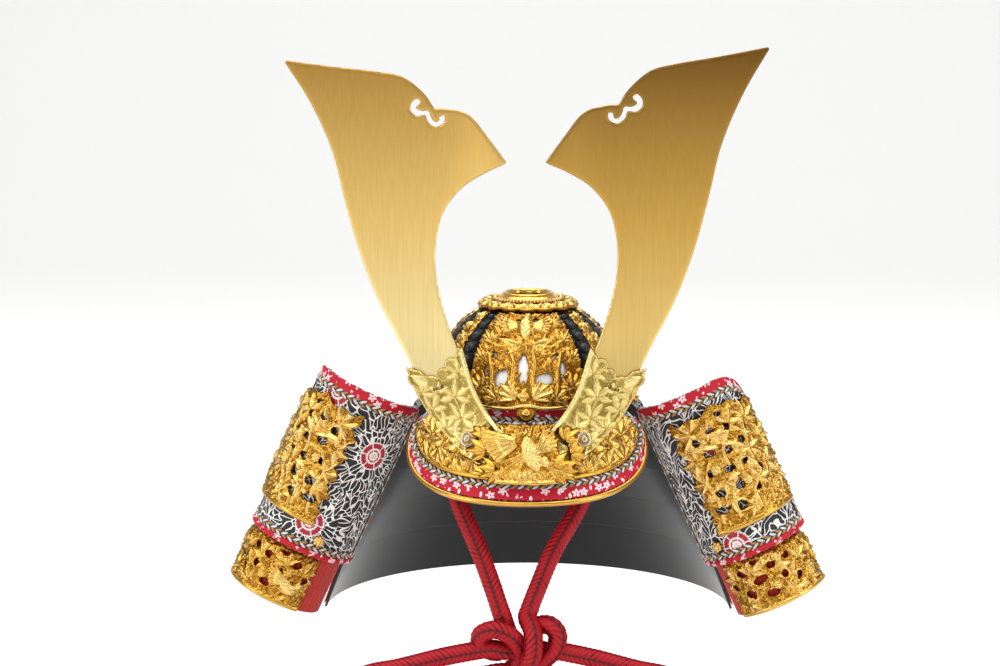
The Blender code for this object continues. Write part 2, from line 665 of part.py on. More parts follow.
def holder_half():
    """The left half of the holder's outline, from the middle's top, out along the arm and back along the foot."""
    scale = [HOLDER_HALF_SPAN, HOLDER_HEIGHT]
    inner = [(-x * scale[0], z * scale[1]) for x, z in reversed(HOLDER_INNER)]
    top = [(-x * scale[0], z * scale[1]) for x, z in reversed(HOLDER_TOP)]
    outer = [(-x * scale[0], z * scale[1]) for x, z in reversed(HOLDER_OUTER)]
    foot = [(-x * scale[0], -z * HOLDER_DEPTH) for x, z in reversed(HOLDER_FOOT)]
    return inner[:-1] + top[:-1] + outer[:-1] + foot


def make_crest_holder():
    left = holder_half()
    outline = left + [(-x, z) for x, z in reversed(left[1:-1])]
    raised = []
    for side in (-1, 1):
        for x, z in HOLDER_LEAVES:
            raised.append((side * x * HOLDER_HALF_SPAN, z * HOLDER_HEIGHT, 2 * CAST_RELIEF))
    for share in (-0.24, -0.12, 0, 0.12, 0.24):
        raised.append((share * HOLDER_HALF_SPAN, -0.62 * HOLDER_DEPTH, 0))
    cut_plate("crest_holder", outline, [], raised, holder_front, HOLDER_SHEET, PALE_GILT)


# Columns: share of the half span outwards, share of the height from the middle; the left wing and half the body
SPARROW_OUTLINE = [(0.0, 0.48), (0.16, 0.50), (0.26, 0.28), (0.55, 0.42), (0.78, 0.36), (1.0, 0.06), (0.84, -0.14),
                   (0.60, -0.28), (0.36, -0.34), (0.22, -0.50), (0.0, -0.48)]


def make_sparrow():
    """A sparrow with spread wings on the foot of the holder."""
    left = [(-x * SPARROW_HALF_SPAN, SPARROW_MIDDLE + z * SPARROW_HEIGHT) for x, z in SPARROW_OUTLINE]
    outline = left + [(-x, z) for x, z in reversed(left[1:-1])]
    raised = [(0, SPARROW_MIDDLE + 0.18 * SPARROW_HEIGHT, SPARROW_RELIEF),
              (0, SPARROW_MIDDLE - 0.22 * SPARROW_HEIGHT, SPARROW_RELIEF * 0.8)]
    for side in (-1, 1):
        raised.append((side * 0.14 * SPARROW_HALF_SPAN, SPARROW_MIDDLE, SPARROW_RELIEF * 0.7))
        raised.append((side * 0.45 * SPARROW_HALF_SPAN, SPARROW_MIDDLE + 0.10 * SPARROW_HEIGHT, SPARROW_RELIEF * 0.5))
        raised.append((side * 0.72 * SPARROW_HALF_SPAN, SPARROW_MIDDLE + 0.16 * SPARROW_HEIGHT, SPARROW_RELIEF * 0.4))

    def front(x, z):
        return holder_front(x, z) - SPARROW_CLEARANCE - SPARROW_SHEET

    cut_plate("crest_sparrow", outline, [], raised, front, SPARROW_SHEET, CAST_GILT)


# Columns: share of the span outwards, share of the height upwards
HORN_CREST = [(1.0, 1.0), (0.797, 0.982), (0.614, 0.968), (0.509, 0.953), (0.423, 0.908), (0.379, 0.864)]
HORN_HUMP = [(0.379, 0.864), (0.331, 0.864), (0.235, 0.848), (0.150, 0.780), (0.078, 0.715)]
HORN_INNER = [(0.078, 0.715), (0.173, 0.683), (0.269, 0.638), (0.345, 0.567), (0.376, 0.476), (0.374, 0.382),
              (0.347, 0.296), (0.303, 0.203), (0.276, 0.163)]
HORN_TANG = [(0.315, 0.043), (0.395, 0.043)]
HORN_OUTER = [(0.470, 0.110), (0.537, 0.203), (0.624, 0.322), (0.696, 0.454), (0.754, 0.600), (0.806, 0.746),
              (0.893, 0.882), (1.0, 1.0)]
# The curled slot under the notch, in the same columns
HORN_CURL = [(0.435, 0.884), (0.454, 0.892), (0.476, 0.877), (0.476, 0.856), (0.451, 0.843), (0.416, 0.846),
             (0.406, 0.826), (0.373, 0.813), (0.340, 0.825), (0.338, 0.845), (0.358, 0.841), (0.359, 0.829),
             (0.382, 0.828), (0.398, 0.848), (0.401, 0.859), (0.434, 0.857), (0.459, 0.868), (0.444, 0.875)]


def make_horn(side_name, side):
    """One horn: a flat gilt plate with a scalloped head and a tang behind the holder's arm."""
    rise = HORN_RISE[side_name]

    def place(row):
        x, z = row
        return (float(x * HORN_SPAN), float(z * HORN_HEIGHT + rise * x * z ** 2))

    outline = []
    for stretch in (HORN_CREST, HORN_HUMP, HORN_INNER):
        outline += [place(row) for row in smooth_line(stretch, 3)[:-1]]
    outline += [place(row) for row in HORN_TANG]
    outline += [place(row) for row in smooth_line(HORN_OUTER, 2)[:-1]]

    def front(x, z):
        above = max(0.0, z - HORN_BOW_START) / (HORN_HEIGHT - HORN_BOW_START)
        return holder_front(x, min(z, HORN_BOW_START)) + HOLDER_SHEET + HORN_CLEARANCE - HORN_BOW * above ** 2

    inside = [(x * HORN_SPAN, z * HORN_HEIGHT, 0.0) for x, z in
              [(0.40, 0.22), (0.46, 0.34), (0.52, 0.46), (0.60, 0.46), (0.46, 0.60), (0.60, 0.62), (0.30, 0.72),
               (0.45, 0.74), (0.62, 0.78), (0.72, 0.88), (0.30, 0.79), (0.56, 0.90)]]
    cut_plate("horn_" + side_name, outline, [[place(row) for row in HORN_CURL]], inside, front, HORN_SHEET,
              BRUSHED_GILT, side)


def rivet_profile(radius, height):
    """A ball on a stepped washer."""
    return [(0, 0), (radius, 0), (radius, height * 0.22), (radius * 0.72, height * 0.34), (radius * 0.62, height * 0.70),
            (radius * 0.34, height * 0.95), (0, height)]


def make_rivets():
    for name, side in (("left", -1), ("right", 1)):
        x, z = CREST_RIVET_PLACE
        slope = (holder_front(x + 0.001, z) - holder_front(x - 0.001, z)) / 0.002
        axis = Vector((side * slope, -1, HOLDER_FOOT_LEAN)).normalized()
        place = Vector((side * x, holder_front(x, z), z)) + axis * CREST_RIVET_CLEARANCE
        turned("crest_rivet_" + name, rivet_profile(RIVET_RADIUS, RIVET_HEIGHT), place, axis, 10, BRONZE)
    front = -(BOWL_HALF_LENGTH + BAND_INNER + BAND_THICKNESS + GAP)
    turned("centre_rivet", rivet_profile(RIVET_RADIUS, RIVET_HEIGHT), (0, front, CENTRE_RIVET_HEIGHT), (0, -1, 0),
           10, CAST_GILT)
    for name, side in (("left", -1), ("right", 1)):
        place = lifted(waist_surface, 0, 0.55, WAIST_THICKNESS + GAP)
        axis = place - lifted(waist_surface, 0, 0.55, 0)
        turned("side_rivet_" + name, rivet_profile(SIDE_RIVET_RADIUS, SIDE_RIVET_RADIUS * 1.2),
               (side * place[0], place[1], place[2]), (side * axis[0], axis[1], axis[2]), 8, CAST_GILT)


# Turn-backs

def turn_surface(arc, along):
    """The right turned-back side: arc along its bend from the tangent point, along down its slanted axis."""
    down = np.array([math.sin(SIDE_SLANT), 0, -math.cos(SIDE_SLANT)])
    across = np.array([math.cos(SIDE_SLANT), 0, math.sin(SIDE_SLANT)])
    corner = np.array([SIDE_CORNER_X, 0, SIDE_CORNER_Z])
    angle = max(arc, 0) / TURN_RADIUS
    out = TURN_RADIUS * (1 - math.cos(angle))
    back = TURN_START_Y - TURN_RADIUS * math.sin(angle) - min(arc, 0)
    return corner + down * along + across * out + np.array([0, back, 0])


def board_surface(full_arc, corner_radius):
    """The board's own cut: the same bend with its outer top corner rounded, along as a share of its length."""
    def base(arc, share):
        past = max(0.0, arc - (full_arc - corner_radius)) / corner_radius
        top = corner_radius * (1 - math.sqrt(max(0.0, 1 - min(past, 1) ** 2)))
        return turn_surface(arc, top + (TURN_LENGTH - top) * share)
    return base


def board_stations(full_arc):
    """Where the board is divided along its bend, closer over its rounded corner."""
    return [-TURN_LEG, 0] + steps(full_arc / 9, full_arc * 0.8, 6) + [full_arc * 0.9, full_arc * 0.96, full_arc]


def make_turnback(name, side):
    full_arc = TURN_ANGLE[name] * TURN_RADIUS
    base = board_surface(full_arc, TURN_CORNER_RADIUS[name])
    stations = board_stations(full_arc)
    sheet("turnback_" + name, base, stations, [0, 1], -TURN_BOARD, 0, PRINTED_LEATHER, side=side)
    front_end = [stations[0] + GAP, stations[0] + TRIM_SIDE]
    outer_end = [full_arc - TRIM_SIDE, full_arc - GAP]
    trim = sorted(front_end + stations[1:-1] + outer_end)
    last = len(trim) - 2
    rows = [along / TURN_LENGTH for along in (GAP, TRIM_TOP, TURN_LENGTH - TRIM_BOTTOM, TURN_LENGTH - GAP)]
    low = GAP + dip(TURN_RADIUS, full_arc / TURN_RADIUS / 8)
    sheet("turnback_trim_" + name, base, trim, rows, low, low + TRIM_THICKNESS, RED_LEATHER,
          keep=lambda i, j: j != 1 or i in (0, last), side=side)


def make_turnback_plate(name, side):
    """The pierced casting on a turned-back side, with a plain bevelled frame at its foot."""
    start = TURN_PLATE_START[name] * TURN_RADIUS
    width = TURN_PLATE_ANGLE * TURN_RADIUS
    height = TURN_PLATE_BOTTOM - TURN_PLATE_TOP
    columns = steps(start, start + width, 4)
    rows = [TURN_PLATE_TOP + height * share for share in (0, 0.23, 0.46, 0.69, 0.92, 1)]
    low = GAP + dip(TURN_RADIUS, TURN_PLATE_ANGLE / 4)

    def waved(arc, along):
        share = (arc - start) / width
        swing = TURN_PLATE_WAVE * (math.sin(3 * math.pi * share) + 3 * max(0, share) ** 4)
        return turn_surface(arc, along + swing * (1 - (along - TURN_PLATE_TOP) / height))

    sheet("turnback_plate_" + name, waved, columns, rows, low, low + CAST_SHEET, CAST_GILT,
          cut=lambda i, j: leaf_gap(i, j) if j < 4 else None, lift=cast_lift, side=side)


def make_lower_turn(name, side):
    """The turned end of the lowest lame, laced in red, and its pierced plate."""
    radius = TURN_RADIUS - LOWER_TURN_INSET
    full_arc = TURN_ANGLE[name] * TURN_RADIUS * 0.97
    rows = [LOWER_TURN_START, LOWER_TURN_END]
    sheet("lower_turn_" + name, turn_surface, [-TURN_LEG, 0] + steps(full_arc / 9, full_arc, 8), rows,
          -LOWER_TURN_INSET - LOWER_TURN_BOARD, -LOWER_TURN_INSET, RED_SILK, side=side)
    start = LOWER_PLATE_START[name] * TURN_RADIUS
    width = LOWER_PLATE_ANGLE * TURN_RADIUS
    low = -LOWER_TURN_INSET + GAP + dip(radius, LOWER_PLATE_ANGLE / 4)
    sheet("lower_plate_" + name, turn_surface, steps(start, start + width, 4), steps(rows[0], rows[1], 2),
          low, low + CAST_SHEET, CAST_GILT, cut=leaf_gap, lift=cast_lift, side=side)


# Neck guard

def neck_surface(angle, along):
    """The neck guard's cone: angle from +X backwards, along down its slant."""
    width = SIDE_CORNER_X + math.sin(SIDE_SLANT) * along
    length = NECK_BACK_LENGTH + NECK_BACK_FLARE * along
    return np.array([width * math.cos(angle), NECK_FRONT_Y + length * math.sin(angle),
                     SIDE_CORNER_Z - math.cos(SIDE_SLANT) * along])


def make_lame(number):
    """One lacquered lame, its top standing out over the one above, with the lacing on it."""
    top = number * LAME_DEPTH + GAP
    depth = LAST_LAME_DEPTH if number == LAME_COUNT - 1 else LAME_DEPTH
    bottom = number * LAME_DEPTH + depth

    def foot(along):
        return LAME_STEP * (bottom - along) / (bottom - top)

    stations = steps(0, math.pi, 14)
    sheet(f"neck_lame_{number + 1}", neck_surface, stations, [top, bottom], foot, lambda v: foot(v) + LAME_SHEET,
          BLACK_LACQUER)
    first = top + (bottom - top) * LACING_TOP_SHARE
    margin = stations[1] / 4
    laced = [stations[0] + margin] + stations[1:-1] + [stations[-1] - margin]
    lift = LAME_SHEET + GAP
    sheet(f"lacing_{number + 1}", neck_surface, laced, [first, bottom - GAP], lambda v: foot(v) + lift,
          lambda v: foot(v) + lift + LACING_SHEET, RED_SILK)


# Chin cord

def make_knot():
    """The knot under the chin, as a lump with two ears and the swell of its crossing strands."""
    around = 14
    rings = 6
    points = []
    for j in range(1, rings):
        polar = math.pi * j / rings
        for i in range(around):
            angle = 2 * math.pi * i / around
            swell = 1 + KNOT_EARS * math.sin(2 * angle) ** 2 * math.sin(polar)
            points.append((KNOT_PLACE[0] + KNOT_SIZE[0] * math.sin(polar) * math.cos(angle) * swell,
                           KNOT_PLACE[1] - KNOT_SIZE[1] * math.cos(polar),
                           KNOT_PLACE[2] + KNOT_SIZE[2] * math.sin(polar) * math.sin(angle) * swell))
    first = len(points)
    points.append((KNOT_PLACE[0], KNOT_PLACE[1] - KNOT_SIZE[1], KNOT_PLACE[2]))
    points.append((KNOT_PLACE[0], KNOT_PLACE[1] + KNOT_SIZE[1], KNOT_PLACE[2]))
    faces = []
    for i in range(around):
        after = (i + 1) % around
        faces.append([first, i, after])
        faces.append([first + 1, (rings - 2) * around + after, (rings - 2) * around + i])
        for j in range(rings - 2):
            faces.append([j * around + i, j * around + after, (j + 1) * around + after, (j + 1) * around + i])
    solid("chin_knot", points, faces, RED_SILK)


def make_cords():
    cord("chin_cord", CHIN_CORD_ROUTE)
    make_knot()
    for name, side in (("left", 1), ("right", -1)):
        middle = KNOT_PLACE[0]
        for part, route in (("cord_loop_", CORD_LOOP_ROUTE), ("cord_tail_", CORD_TAIL_ROUTE)):
            cord(part + name, [(middle + (x - middle) * side, y, z) for x, y, z in route])


make_bowl_shell()
for stud_name, stud_azimuth in STUD_AZIMUTHS.items():
    make_stud_row("stud_row_right_" + stud_name, stud_azimuth)
    make_stud_row("stud_row_left_" + stud_name, -stud_azimuth)
for strip_name, strip_azimuth in STRIP_AZIMUTHS.items():
    make_strip("gilt_strip_right_" + strip_name, strip_azimuth)
    make_strip("gilt_strip_left_" + strip_name, -strip_azimuth)
make_silver_plate()
make_front_panel()
make_back_panel()
make_bowl_band()
make_waist_plate()
make_crown_plate()
make_crown_collar()
make_visor_board()
make_visor_rim()
make_visor_plate()
make_crest_holder()
make_sparrow()
make_rivets()
for side_name, side_sign in (("left", -1), ("right", 1)):
    make_horn(side_name, side_sign)
    make_turnback(side_name, side_sign)
    make_turnback_plate(side_name, side_sign)
    make_lower_turn(side_name, side_sign)
for lame_number in range(LAME_COUNT):
    make_lame(lame_number)
make_cords()
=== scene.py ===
"""A Boys' Day display helmet: gilt castings, printed leather, braid, silk lacing and a chin cord.

Places are in metres in the part's own frame, +Z up and facing -Y. Reliefs and printed patterns are drawn in
millimetres.
"""
import math

import bpy
import numpy as np
from mathutils import Matrix, Vector


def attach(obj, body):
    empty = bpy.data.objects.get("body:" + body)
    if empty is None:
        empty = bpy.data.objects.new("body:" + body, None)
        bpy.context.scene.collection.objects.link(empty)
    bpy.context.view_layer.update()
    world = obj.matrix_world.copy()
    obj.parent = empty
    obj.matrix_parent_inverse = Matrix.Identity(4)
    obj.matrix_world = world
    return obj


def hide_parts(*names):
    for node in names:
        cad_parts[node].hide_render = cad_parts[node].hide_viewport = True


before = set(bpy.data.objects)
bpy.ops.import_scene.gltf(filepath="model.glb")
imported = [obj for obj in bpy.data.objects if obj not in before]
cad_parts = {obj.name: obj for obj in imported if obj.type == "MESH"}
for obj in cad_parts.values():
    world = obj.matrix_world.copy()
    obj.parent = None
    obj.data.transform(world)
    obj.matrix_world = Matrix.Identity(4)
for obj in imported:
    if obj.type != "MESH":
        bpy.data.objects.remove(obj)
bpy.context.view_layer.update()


# Studio
# A pale painted sweep under large cloth diffusers, and a long lens a little above the middle of the helmet,
# as for a catalogue picture.

CAMERA_DISTANCE = 1.700
CAMERA_ELEVATION = math.radians(8.5)
CAMERA_AZIMUTH = math.radians(1.5)
MM_PER_PIXEL = 0.55
PICTURE_WIDTH = 1000
PICTURE_CENTRE = (500.0, 333.0)
BOWL_PIXEL = (528.0, 392.5)
SENSOR_WIDTH = 36.0
FLOOR_HEIGHT = -0.206
SWEEP_FRONT = -3.4
SWEEP_BACK = 2.1
SWEEP_BEND = 0.9
SWEEP_HEIGHT = 3.4
SWEEP_HALF_WIDTH = 4.0


def linear(colour):
    """An sRGB hex colour as linear red, green, blue and alpha."""
    parts = [int(colour[k:k + 2], 16) / 255 for k in (1, 3, 5)]
    return [p / 12.92 if p <= 0.04045 else ((p + 0.055) / 1.055) ** 2.4 for p in parts] + [1.0]


def feed(node, inputs):
    """Sets a node's inputs: each from a value, from a socket, or from another node's first output."""
    for key, source in inputs.items():
        if isinstance(source, bpy.types.Node):
            source = source.outputs[0]
        if isinstance(source, bpy.types.NodeSocket):
            node.id_data.links.new(source, node.inputs[key])
        else:
            node.inputs[key].default_value = source


def add(tree, kind, inputs=None, stops=(), **settings):
    """A shader node with its settings, its inputs and a ramp's stops."""
    node = tree.nodes.new("ShaderNode" + kind)
    for key, value in settings.items():
        setattr(node, key, value)
    feed(node, inputs or {})
    for k, (place, colour) in enumerate(stops):
        element = node.color_ramp.elements[k] if k < 2 else node.color_ramp.elements.new(place)
        element.position = place
        element.color = linear(colour)
    return node


def start_material(name, colour, metallic, roughness):
    """A material with its shader set to plain starting values."""
    material = bpy.data.materials.new(name)
    material.use_nodes = True
    shader = material.node_tree.nodes["Principled BSDF"]
    feed(shader, {"Base Color": linear(colour), "Metallic": metallic, "Roughness": roughness})
    return material, material.node_tree, shader


def build(name, points, faces, materials, developed=None, relief=None, picks=None, sharp=None):
    """A mesh object with its faces outwards; developed is millimetres on the flat, relief a share of height."""
    mesh = bpy.data.meshes.new(name)
    mesh.from_pydata(np.asarray(points).tolist(), [], faces)
    for material in materials:
        mesh.materials.append(material)
    if developed is not None:
        corners = np.zeros(len(mesh.loops), int)
        mesh.loops.foreach_get("vertex_index", corners)
        layer = mesh.uv_layers.new(name="developed")
        layer.data.foreach_set("uv", np.asarray(developed, np.float32)[corners].reshape(-1))
    if relief is not None:
        heights = mesh.attributes.new("relief", "FLOAT", "POINT")
        heights.data.foreach_set("value", np.asarray(relief, np.float32))
    if picks is not None:
        mesh.polygons.foreach_set("material_index", np.asarray(picks, np.int32))
    mesh.calc_loop_triangles()
    triangles = np.zeros(len(mesh.loop_triangles) * 3, int)
    mesh.loop_triangles.foreach_get("vertices", triangles)
    corner = np.asarray(points, float)[triangles.reshape(-1, 3)]
    if np.einsum("ij,ij->i", corner[:, 0], np.cross(corner[:, 1], corner[:, 2])).sum() < 0:
        mesh.flip_normals()
    mesh.shade_smooth()
    if sharp:
        mesh.set_sharp_from_angle(angle=math.radians(sharp))
    thing = bpy.data.objects.new(name, mesh)
    bpy.context.scene.collection.objects.link(thing)
    return thing


def make_camera():
    back = Vector((math.sin(CAMERA_AZIMUTH) * math.cos(CAMERA_ELEVATION),
                   -math.cos(CAMERA_AZIMUTH) * math.cos(CAMERA_ELEVATION), math.sin(CAMERA_ELEVATION)))
    right = Vector((math.cos(CAMERA_AZIMUTH), math.sin(CAMERA_AZIMUTH), 0))
    up = back.cross(right)
    metres = MM_PER_PIXEL / 1000
    target = (right * (PICTURE_CENTRE[0] - BOWL_PIXEL[0]) + up * (BOWL_PIXEL[1] - PICTURE_CENTRE[1])) * metres
    lens = bpy.data.cameras.new("long_lens")
    lens.sensor_width = SENSOR_WIDTH
    lens.lens = CAMERA_DISTANCE / metres * SENSOR_WIDTH / PICTURE_WIDTH
    lens.clip_start = 0.1
    lens.clip_end = 20
    camera = bpy.data.objects.new("camera", lens)
    turned_to = Matrix((right, up, back)).transposed().to_4x4()
    camera.matrix_world = Matrix.Translation(target + back * CAMERA_DISTANCE) @ turned_to
    bpy.context.scene.collection.objects.link(camera)
    bpy.context.scene.camera = camera


make_camera()


def make_sweep():
    """A floor that rises into a wall in one bend."""
    bend = [(SWEEP_BACK + math.sin(a) * SWEEP_BEND, SWEEP_BEND - math.cos(a) * SWEEP_BEND)
            for a in np.linspace(0, math.pi / 2, 12)]
    profile = [(SWEEP_FRONT, 0.0)] + bend + [(SWEEP_BACK + SWEEP_BEND, SWEEP_HEIGHT)]
    points = [(x, y, FLOOR_HEIGHT + z) for y, z in profile for x in (-SWEEP_HALF_WIDTH, SWEEP_HALF_WIDTH)]
    faces = [[2 * k, 2 * k + 1, 2 * k + 3, 2 * k + 2] for k in range(len(profile) - 1)]
    # Matt white wall paint, rolled on: even and faintly orange-peeled
    paint, tree, shader = start_material("rolled_white_paint", "#F7F6F4", 0.0, 0.9)
    place = add(tree, "TexCoord")
    peel = add(tree, "TexNoise", {"Vector": place.outputs["Object"], "Scale": 250.0})
    bump = add(tree, "Bump", {"Height": peel, "Strength": 0.05, "Distance": 0.0002})
    feed(shader, {"Normal": bump})
    build("sweep", points, faces, [paint])


make_sweep()

# Columns: name, place, width and height of the diffuser, power in watts
DIFFUSERS = [
    ("overhead_diffuser", (0.0, -0.5, 1.7), (1.7, 1.2), 20.0),
    ("left_diffuser", (-1.5, -1.0, 0.6), (0.7, 1.5), 13.0),
    ("right_diffuser", (1.5, -0.9, 0.5), (0.5, 1.5), 10.0),
    ("front_diffuser", (-0.3, -2.4, 0.9), (1.2, 0.5), 6.0),
    ("sweep_diffuser", (0.0, 0.9, 2.5), (3.4, 1.4), 40.0),
]


def make_lights():
    for name, place, size, power in DIFFUSERS:
        light = bpy.data.lights.new(name, "AREA")
        light.shape = "RECTANGLE"
        light.size, light.size_y = size
        light.energy = power
        lamp = bpy.data.objects.new(name, light)
        lamp.location = place
        aim = Vector((0, 0.1, 0)) - Vector(place)
        lamp.rotation_euler = aim.to_track_quat("-Z", "Y").to_euler()
        bpy.context.scene.collection.objects.link(lamp)
    world = bpy.data.worlds.new("studio_air")
    world.use_nodes = True
    background = world.node_tree.nodes["Background"]
    background.inputs["Color"].default_value = linear("#F2F4F8")
    background.inputs["Strength"].default_value = 0.55
    bpy.context.scene.world = world
    bpy.context.scene.view_settings.view_transform = "Standard"


make_lights()


def fit(piece, slot, *nodes):
    """The piece goes with the helmet and stands for its solids; slot is not used."""
    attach(piece, "root")
    if nodes:
        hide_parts(*nodes)
    return piece


# Chin cord
# One long round cord of crimson silk, plaited in four rows of slanting strands and tied under the chin in a
# knot with two ears, two wide loops and two short tails bound at their ends.

CORD_DIAMETER = 0.0105
PLAIT_ROWS = 4
PLAIT_PITCH = 0.0027
PLAIT_DEPTH = 0.0008
CORD_STEP = 0.0007
CORD_SIDES = 32
KNOT_PLACE = (-0.0040, -0.0765, -0.1245)

# From the knot up the left side, round inside the back of the rim and down the right side
CHIN_CORD_ROUTE = [
    (-0.0120, -0.0746, -0.1090), (-0.0179, -0.0690, -0.0924), (-0.0250, -0.0620, -0.0749),
    (-0.0342, -0.0525, -0.0555), (-0.0412, -0.0420, -0.0365), (-0.0450, -0.0290, -0.0200),
    (-0.0462, -0.0120, -0.0118), (-0.0465, 0.0065, -0.0100), (-0.0412, 0.0250, -0.0100),
    (-0.0297, 0.0398, -0.0100), (-0.0105, 0.0498, -0.0100), (0.0105, 0.0498, -0.0100),
    (0.0297, 0.0398, -0.0100), (0.0412, 0.0250, -0.0100), (0.0465, 0.0065, -0.0100),
    (0.0462, -0.0120, -0.0118), (0.0434, -0.0290, -0.0200), (0.0365, -0.0420, -0.0365),
    (0.0268, -0.0525, -0.0555), (0.0150, -0.0620, -0.0747), (0.0061, -0.0690, -0.0949),
    (0.0005, -0.0746, -0.1086),
]
# The left loop, out along the upper strand, round, and back along the lower one
CORD_LOOP_ROUTE = [
    (-0.0256, -0.0775, -0.1259), (-0.0453, -0.0780, -0.1299), (-0.0667, -0.0780, -0.1355),
    (-0.0850, -0.0765, -0.1400), (-0.0995, -0.0750, -0.1500), (-0.1035, -0.0745, -0.1650),
    (-0.0945, -0.0745, -0.1780), (-0.0795, -0.0750, -0.1775), (-0.0670, -0.0760, -0.1660),
    (-0.0540, -0.0770, -0.1530), (-0.0380, -0.0775, -0.1440), (-0.0216, -0.0775, -0.1392),
]
CORD_TAIL_ROUTE = [(-0.0097, -0.0745, -0.1402), (-0.0120, -0.0740, -0.1600), (-0.0140, -0.0742, -0.1800),
                   (-0.0145, -0.0750, -0.2000)]
# The knot's strands: the left ear, the strand down its front, the right ear, and the two that cross behind
KNOT_STRANDS = [
    [(-0.0140, -0.0727, -0.1032), (-0.0116, -0.0741, -0.1096), (-0.0085, -0.0715, -0.1230),
     (-0.0150, -0.0725, -0.1280),
     (-0.0225, -0.0760, -0.1245), (-0.0235, -0.0800, -0.1170), (-0.0165, -0.0832, -0.1132),
     (-0.0085, -0.0830, -0.1160),
     (-0.0035, -0.0795, -0.1225), (-0.0025, -0.0750, -0.1300), (-0.0070, -0.0740, -0.1370),
     (-0.0100, -0.0745, -0.1420)],
    [(0.0028, -0.0722, -0.1034), (0.0010, -0.0752, -0.1082), (0.0034, -0.0806, -0.1130),
     (0.0046, -0.0845, -0.1180), (0.0042, -0.0855, -0.1260),
     (0.0015, -0.0820, -0.1330), (0.0017, -0.0750, -0.1420)],
    [(0.0020, -0.0725, -0.1180), (0.0070, -0.0745, -0.1130), (0.0130, -0.0785, -0.1118),
     (0.0172, -0.0800, -0.1165),
     (0.0160, -0.0800, -0.1235), (0.0115, -0.0790, -0.1290), (0.0060, -0.0770, -0.1335),
     (0.0000, -0.0730, -0.1350)],
    [(-0.0270, -0.0776, -0.1262), (-0.0190, -0.0776, -0.1250), (-0.0110, -0.0768, -0.1262),
     (-0.0030, -0.0735, -0.1265),
     (0.0060, -0.0735, -0.1265), (0.0130, -0.0768, -0.1262), (0.0190, -0.0776, -0.1262)],
    [(-0.0230, -0.0776, -0.1397), (-0.0130, -0.0776, -0.1378), (-0.0040, -0.0760, -0.1385),
     (0.0050, -0.0776, -0.1378),
     (0.0150, -0.0776, -0.1397)],
]


def smooth_line(points, per_span):
    """Points along a smooth curve through the given ones."""
    points = [np.array(p, float) for p in points]
    ends = [2 * points[0] - points[1]] + points + [2 * points[-1] - points[-2]]
    line = []
    for before, start, end, after in zip(ends, ends[1:], ends[2:], ends[3:]):
        for k in range(per_span):
            t = k / per_span
            square = 2 * before - 5 * start + 4 * end - after
            cube = 3 * start - before - 3 * end + after
            line.append(0.5 * (2 * start + (end - before) * t + square * t ** 2 + cube * t ** 3))
    return np.array(line + [points[-1]])


def evenly(line, step):
    """The line again with its points one step apart, and how far along each lies."""
    lengths = np.concatenate([[0], np.cumsum(np.linalg.norm(np.diff(line, axis=0), axis=1))])
    along = np.linspace(0, lengths[-1], max(2, round(lengths[-1] / step)) + 1)
    return np.stack([np.interp(along, lengths, line[:, axis]) for axis in range(3)], 1), along


def carried_frames(line):
    """Two directions across a line at each of its points, carried along without twisting."""
    ahead = np.gradient(line, axis=0)
    ahead /= np.linalg.norm(ahead, axis=1, keepdims=True)
    first = np.cross(ahead[0], (0.0, 1.0, 0.0))
    across = [first / np.linalg.norm(first)]
    for direction in ahead[1:]:
        turned_on = across[-1] - direction * (across[-1] @ direction)
        across.append(turned_on / np.linalg.norm(turned_on))
    across = np.array(across)
    return across, np.cross(ahead, across)


def plait(along, angle):
    """The skin of the round plait: how far it lies from the middle, and the share of its relief."""
    row = angle / (2 * math.pi) * PLAIT_ROWS
    share = row % 1
    slant = np.where(np.floor(row) % 2 == 0, share, 1 - share)
    strand = (along / PLAIT_PITCH + slant * 2.0) % 1
    swell = np.sin(math.pi * strand) ** 0.55 * (0.30 + 0.70 * np.sin(math.pi * share) ** 0.5)
    return CORD_DIAMETER / 2 - PLAIT_DEPTH * (1 - swell), swell


def tube(route, skin, step, sides):
    """The points, faces, flat millimetres and relief of a closed tube along a route."""
    line, along = evenly(smooth_line(route, 16), step)
    across, beside = carried_frames(line)
    angle = np.linspace(0, 2 * math.pi, sides, endpoint=False)
    radius, relief = skin(along[:, None], angle[None, :])
    out = across[:, None] * np.cos(angle)[None, :, None] + beside[:, None] * np.sin(angle)[None, :, None]
    points = (line[:, None] + out * radius[..., None]).reshape(-1, 3)
    count = len(line)
    grid = np.arange(count * sides).reshape(count, sides)
    after = np.roll(grid, -1, axis=1)
    faces = np.stack([grid[:-1], after[:-1], after[1:], grid[1:]], -1).reshape(-1, 4).tolist()
    faces += [grid[0][::-1].tolist(), grid[-1].tolist()]
    flat = np.stack([np.broadcast_to(along[:, None], radius.shape), radius * angle[None, :]], -1)
    flat = flat.reshape(-1, 2) * 1000
    return points, faces, flat, np.asarray(relief).reshape(-1), line


# Spun silk, dyed crimson, with a soft sheen along each strand; its colour is painted nearly black in the
# valleys between strands, as painted shade
SILK, silk_tree, silk_shader = start_material("dyed_crimson_silk", "#B01026", 0.0, 0.5)
silk_depth = add(silk_tree, "Attribute", attribute_name="relief")
silk_flat = add(silk_tree, "UVMap", uv_map="developed")
# Colour by relief height: painted shade in the valleys between strands
silk_painted_valley_shade = add(silk_tree, "ValToRGB", {"Fac": silk_depth.outputs["Fac"]},
                  [(0.15, "#1C0003"), (0.45, "#7C0410"), (1.0, "#B80A1A")])
feed(silk_shader, {"Base Color": silk_painted_valley_shade})
# Filaments 0.25 mm apart, as coarse as they need to be to show
silk_thread = add(silk_tree, "TexNoise", {"Vector": silk_flat, "Scale": 4.0, "Detail": 2.0})
silk_bump = add(silk_tree, "Bump", {"Height": silk_thread, "Strength": 0.45, "Distance": 0.0003})
feed(silk_shader, {"Normal": silk_bump, "Specular IOR Level": 0.25, "Sheen Weight": 0.12,
                   "Sheen Tint": linear("#F04050"), "Sheen Roughness": 0.4})


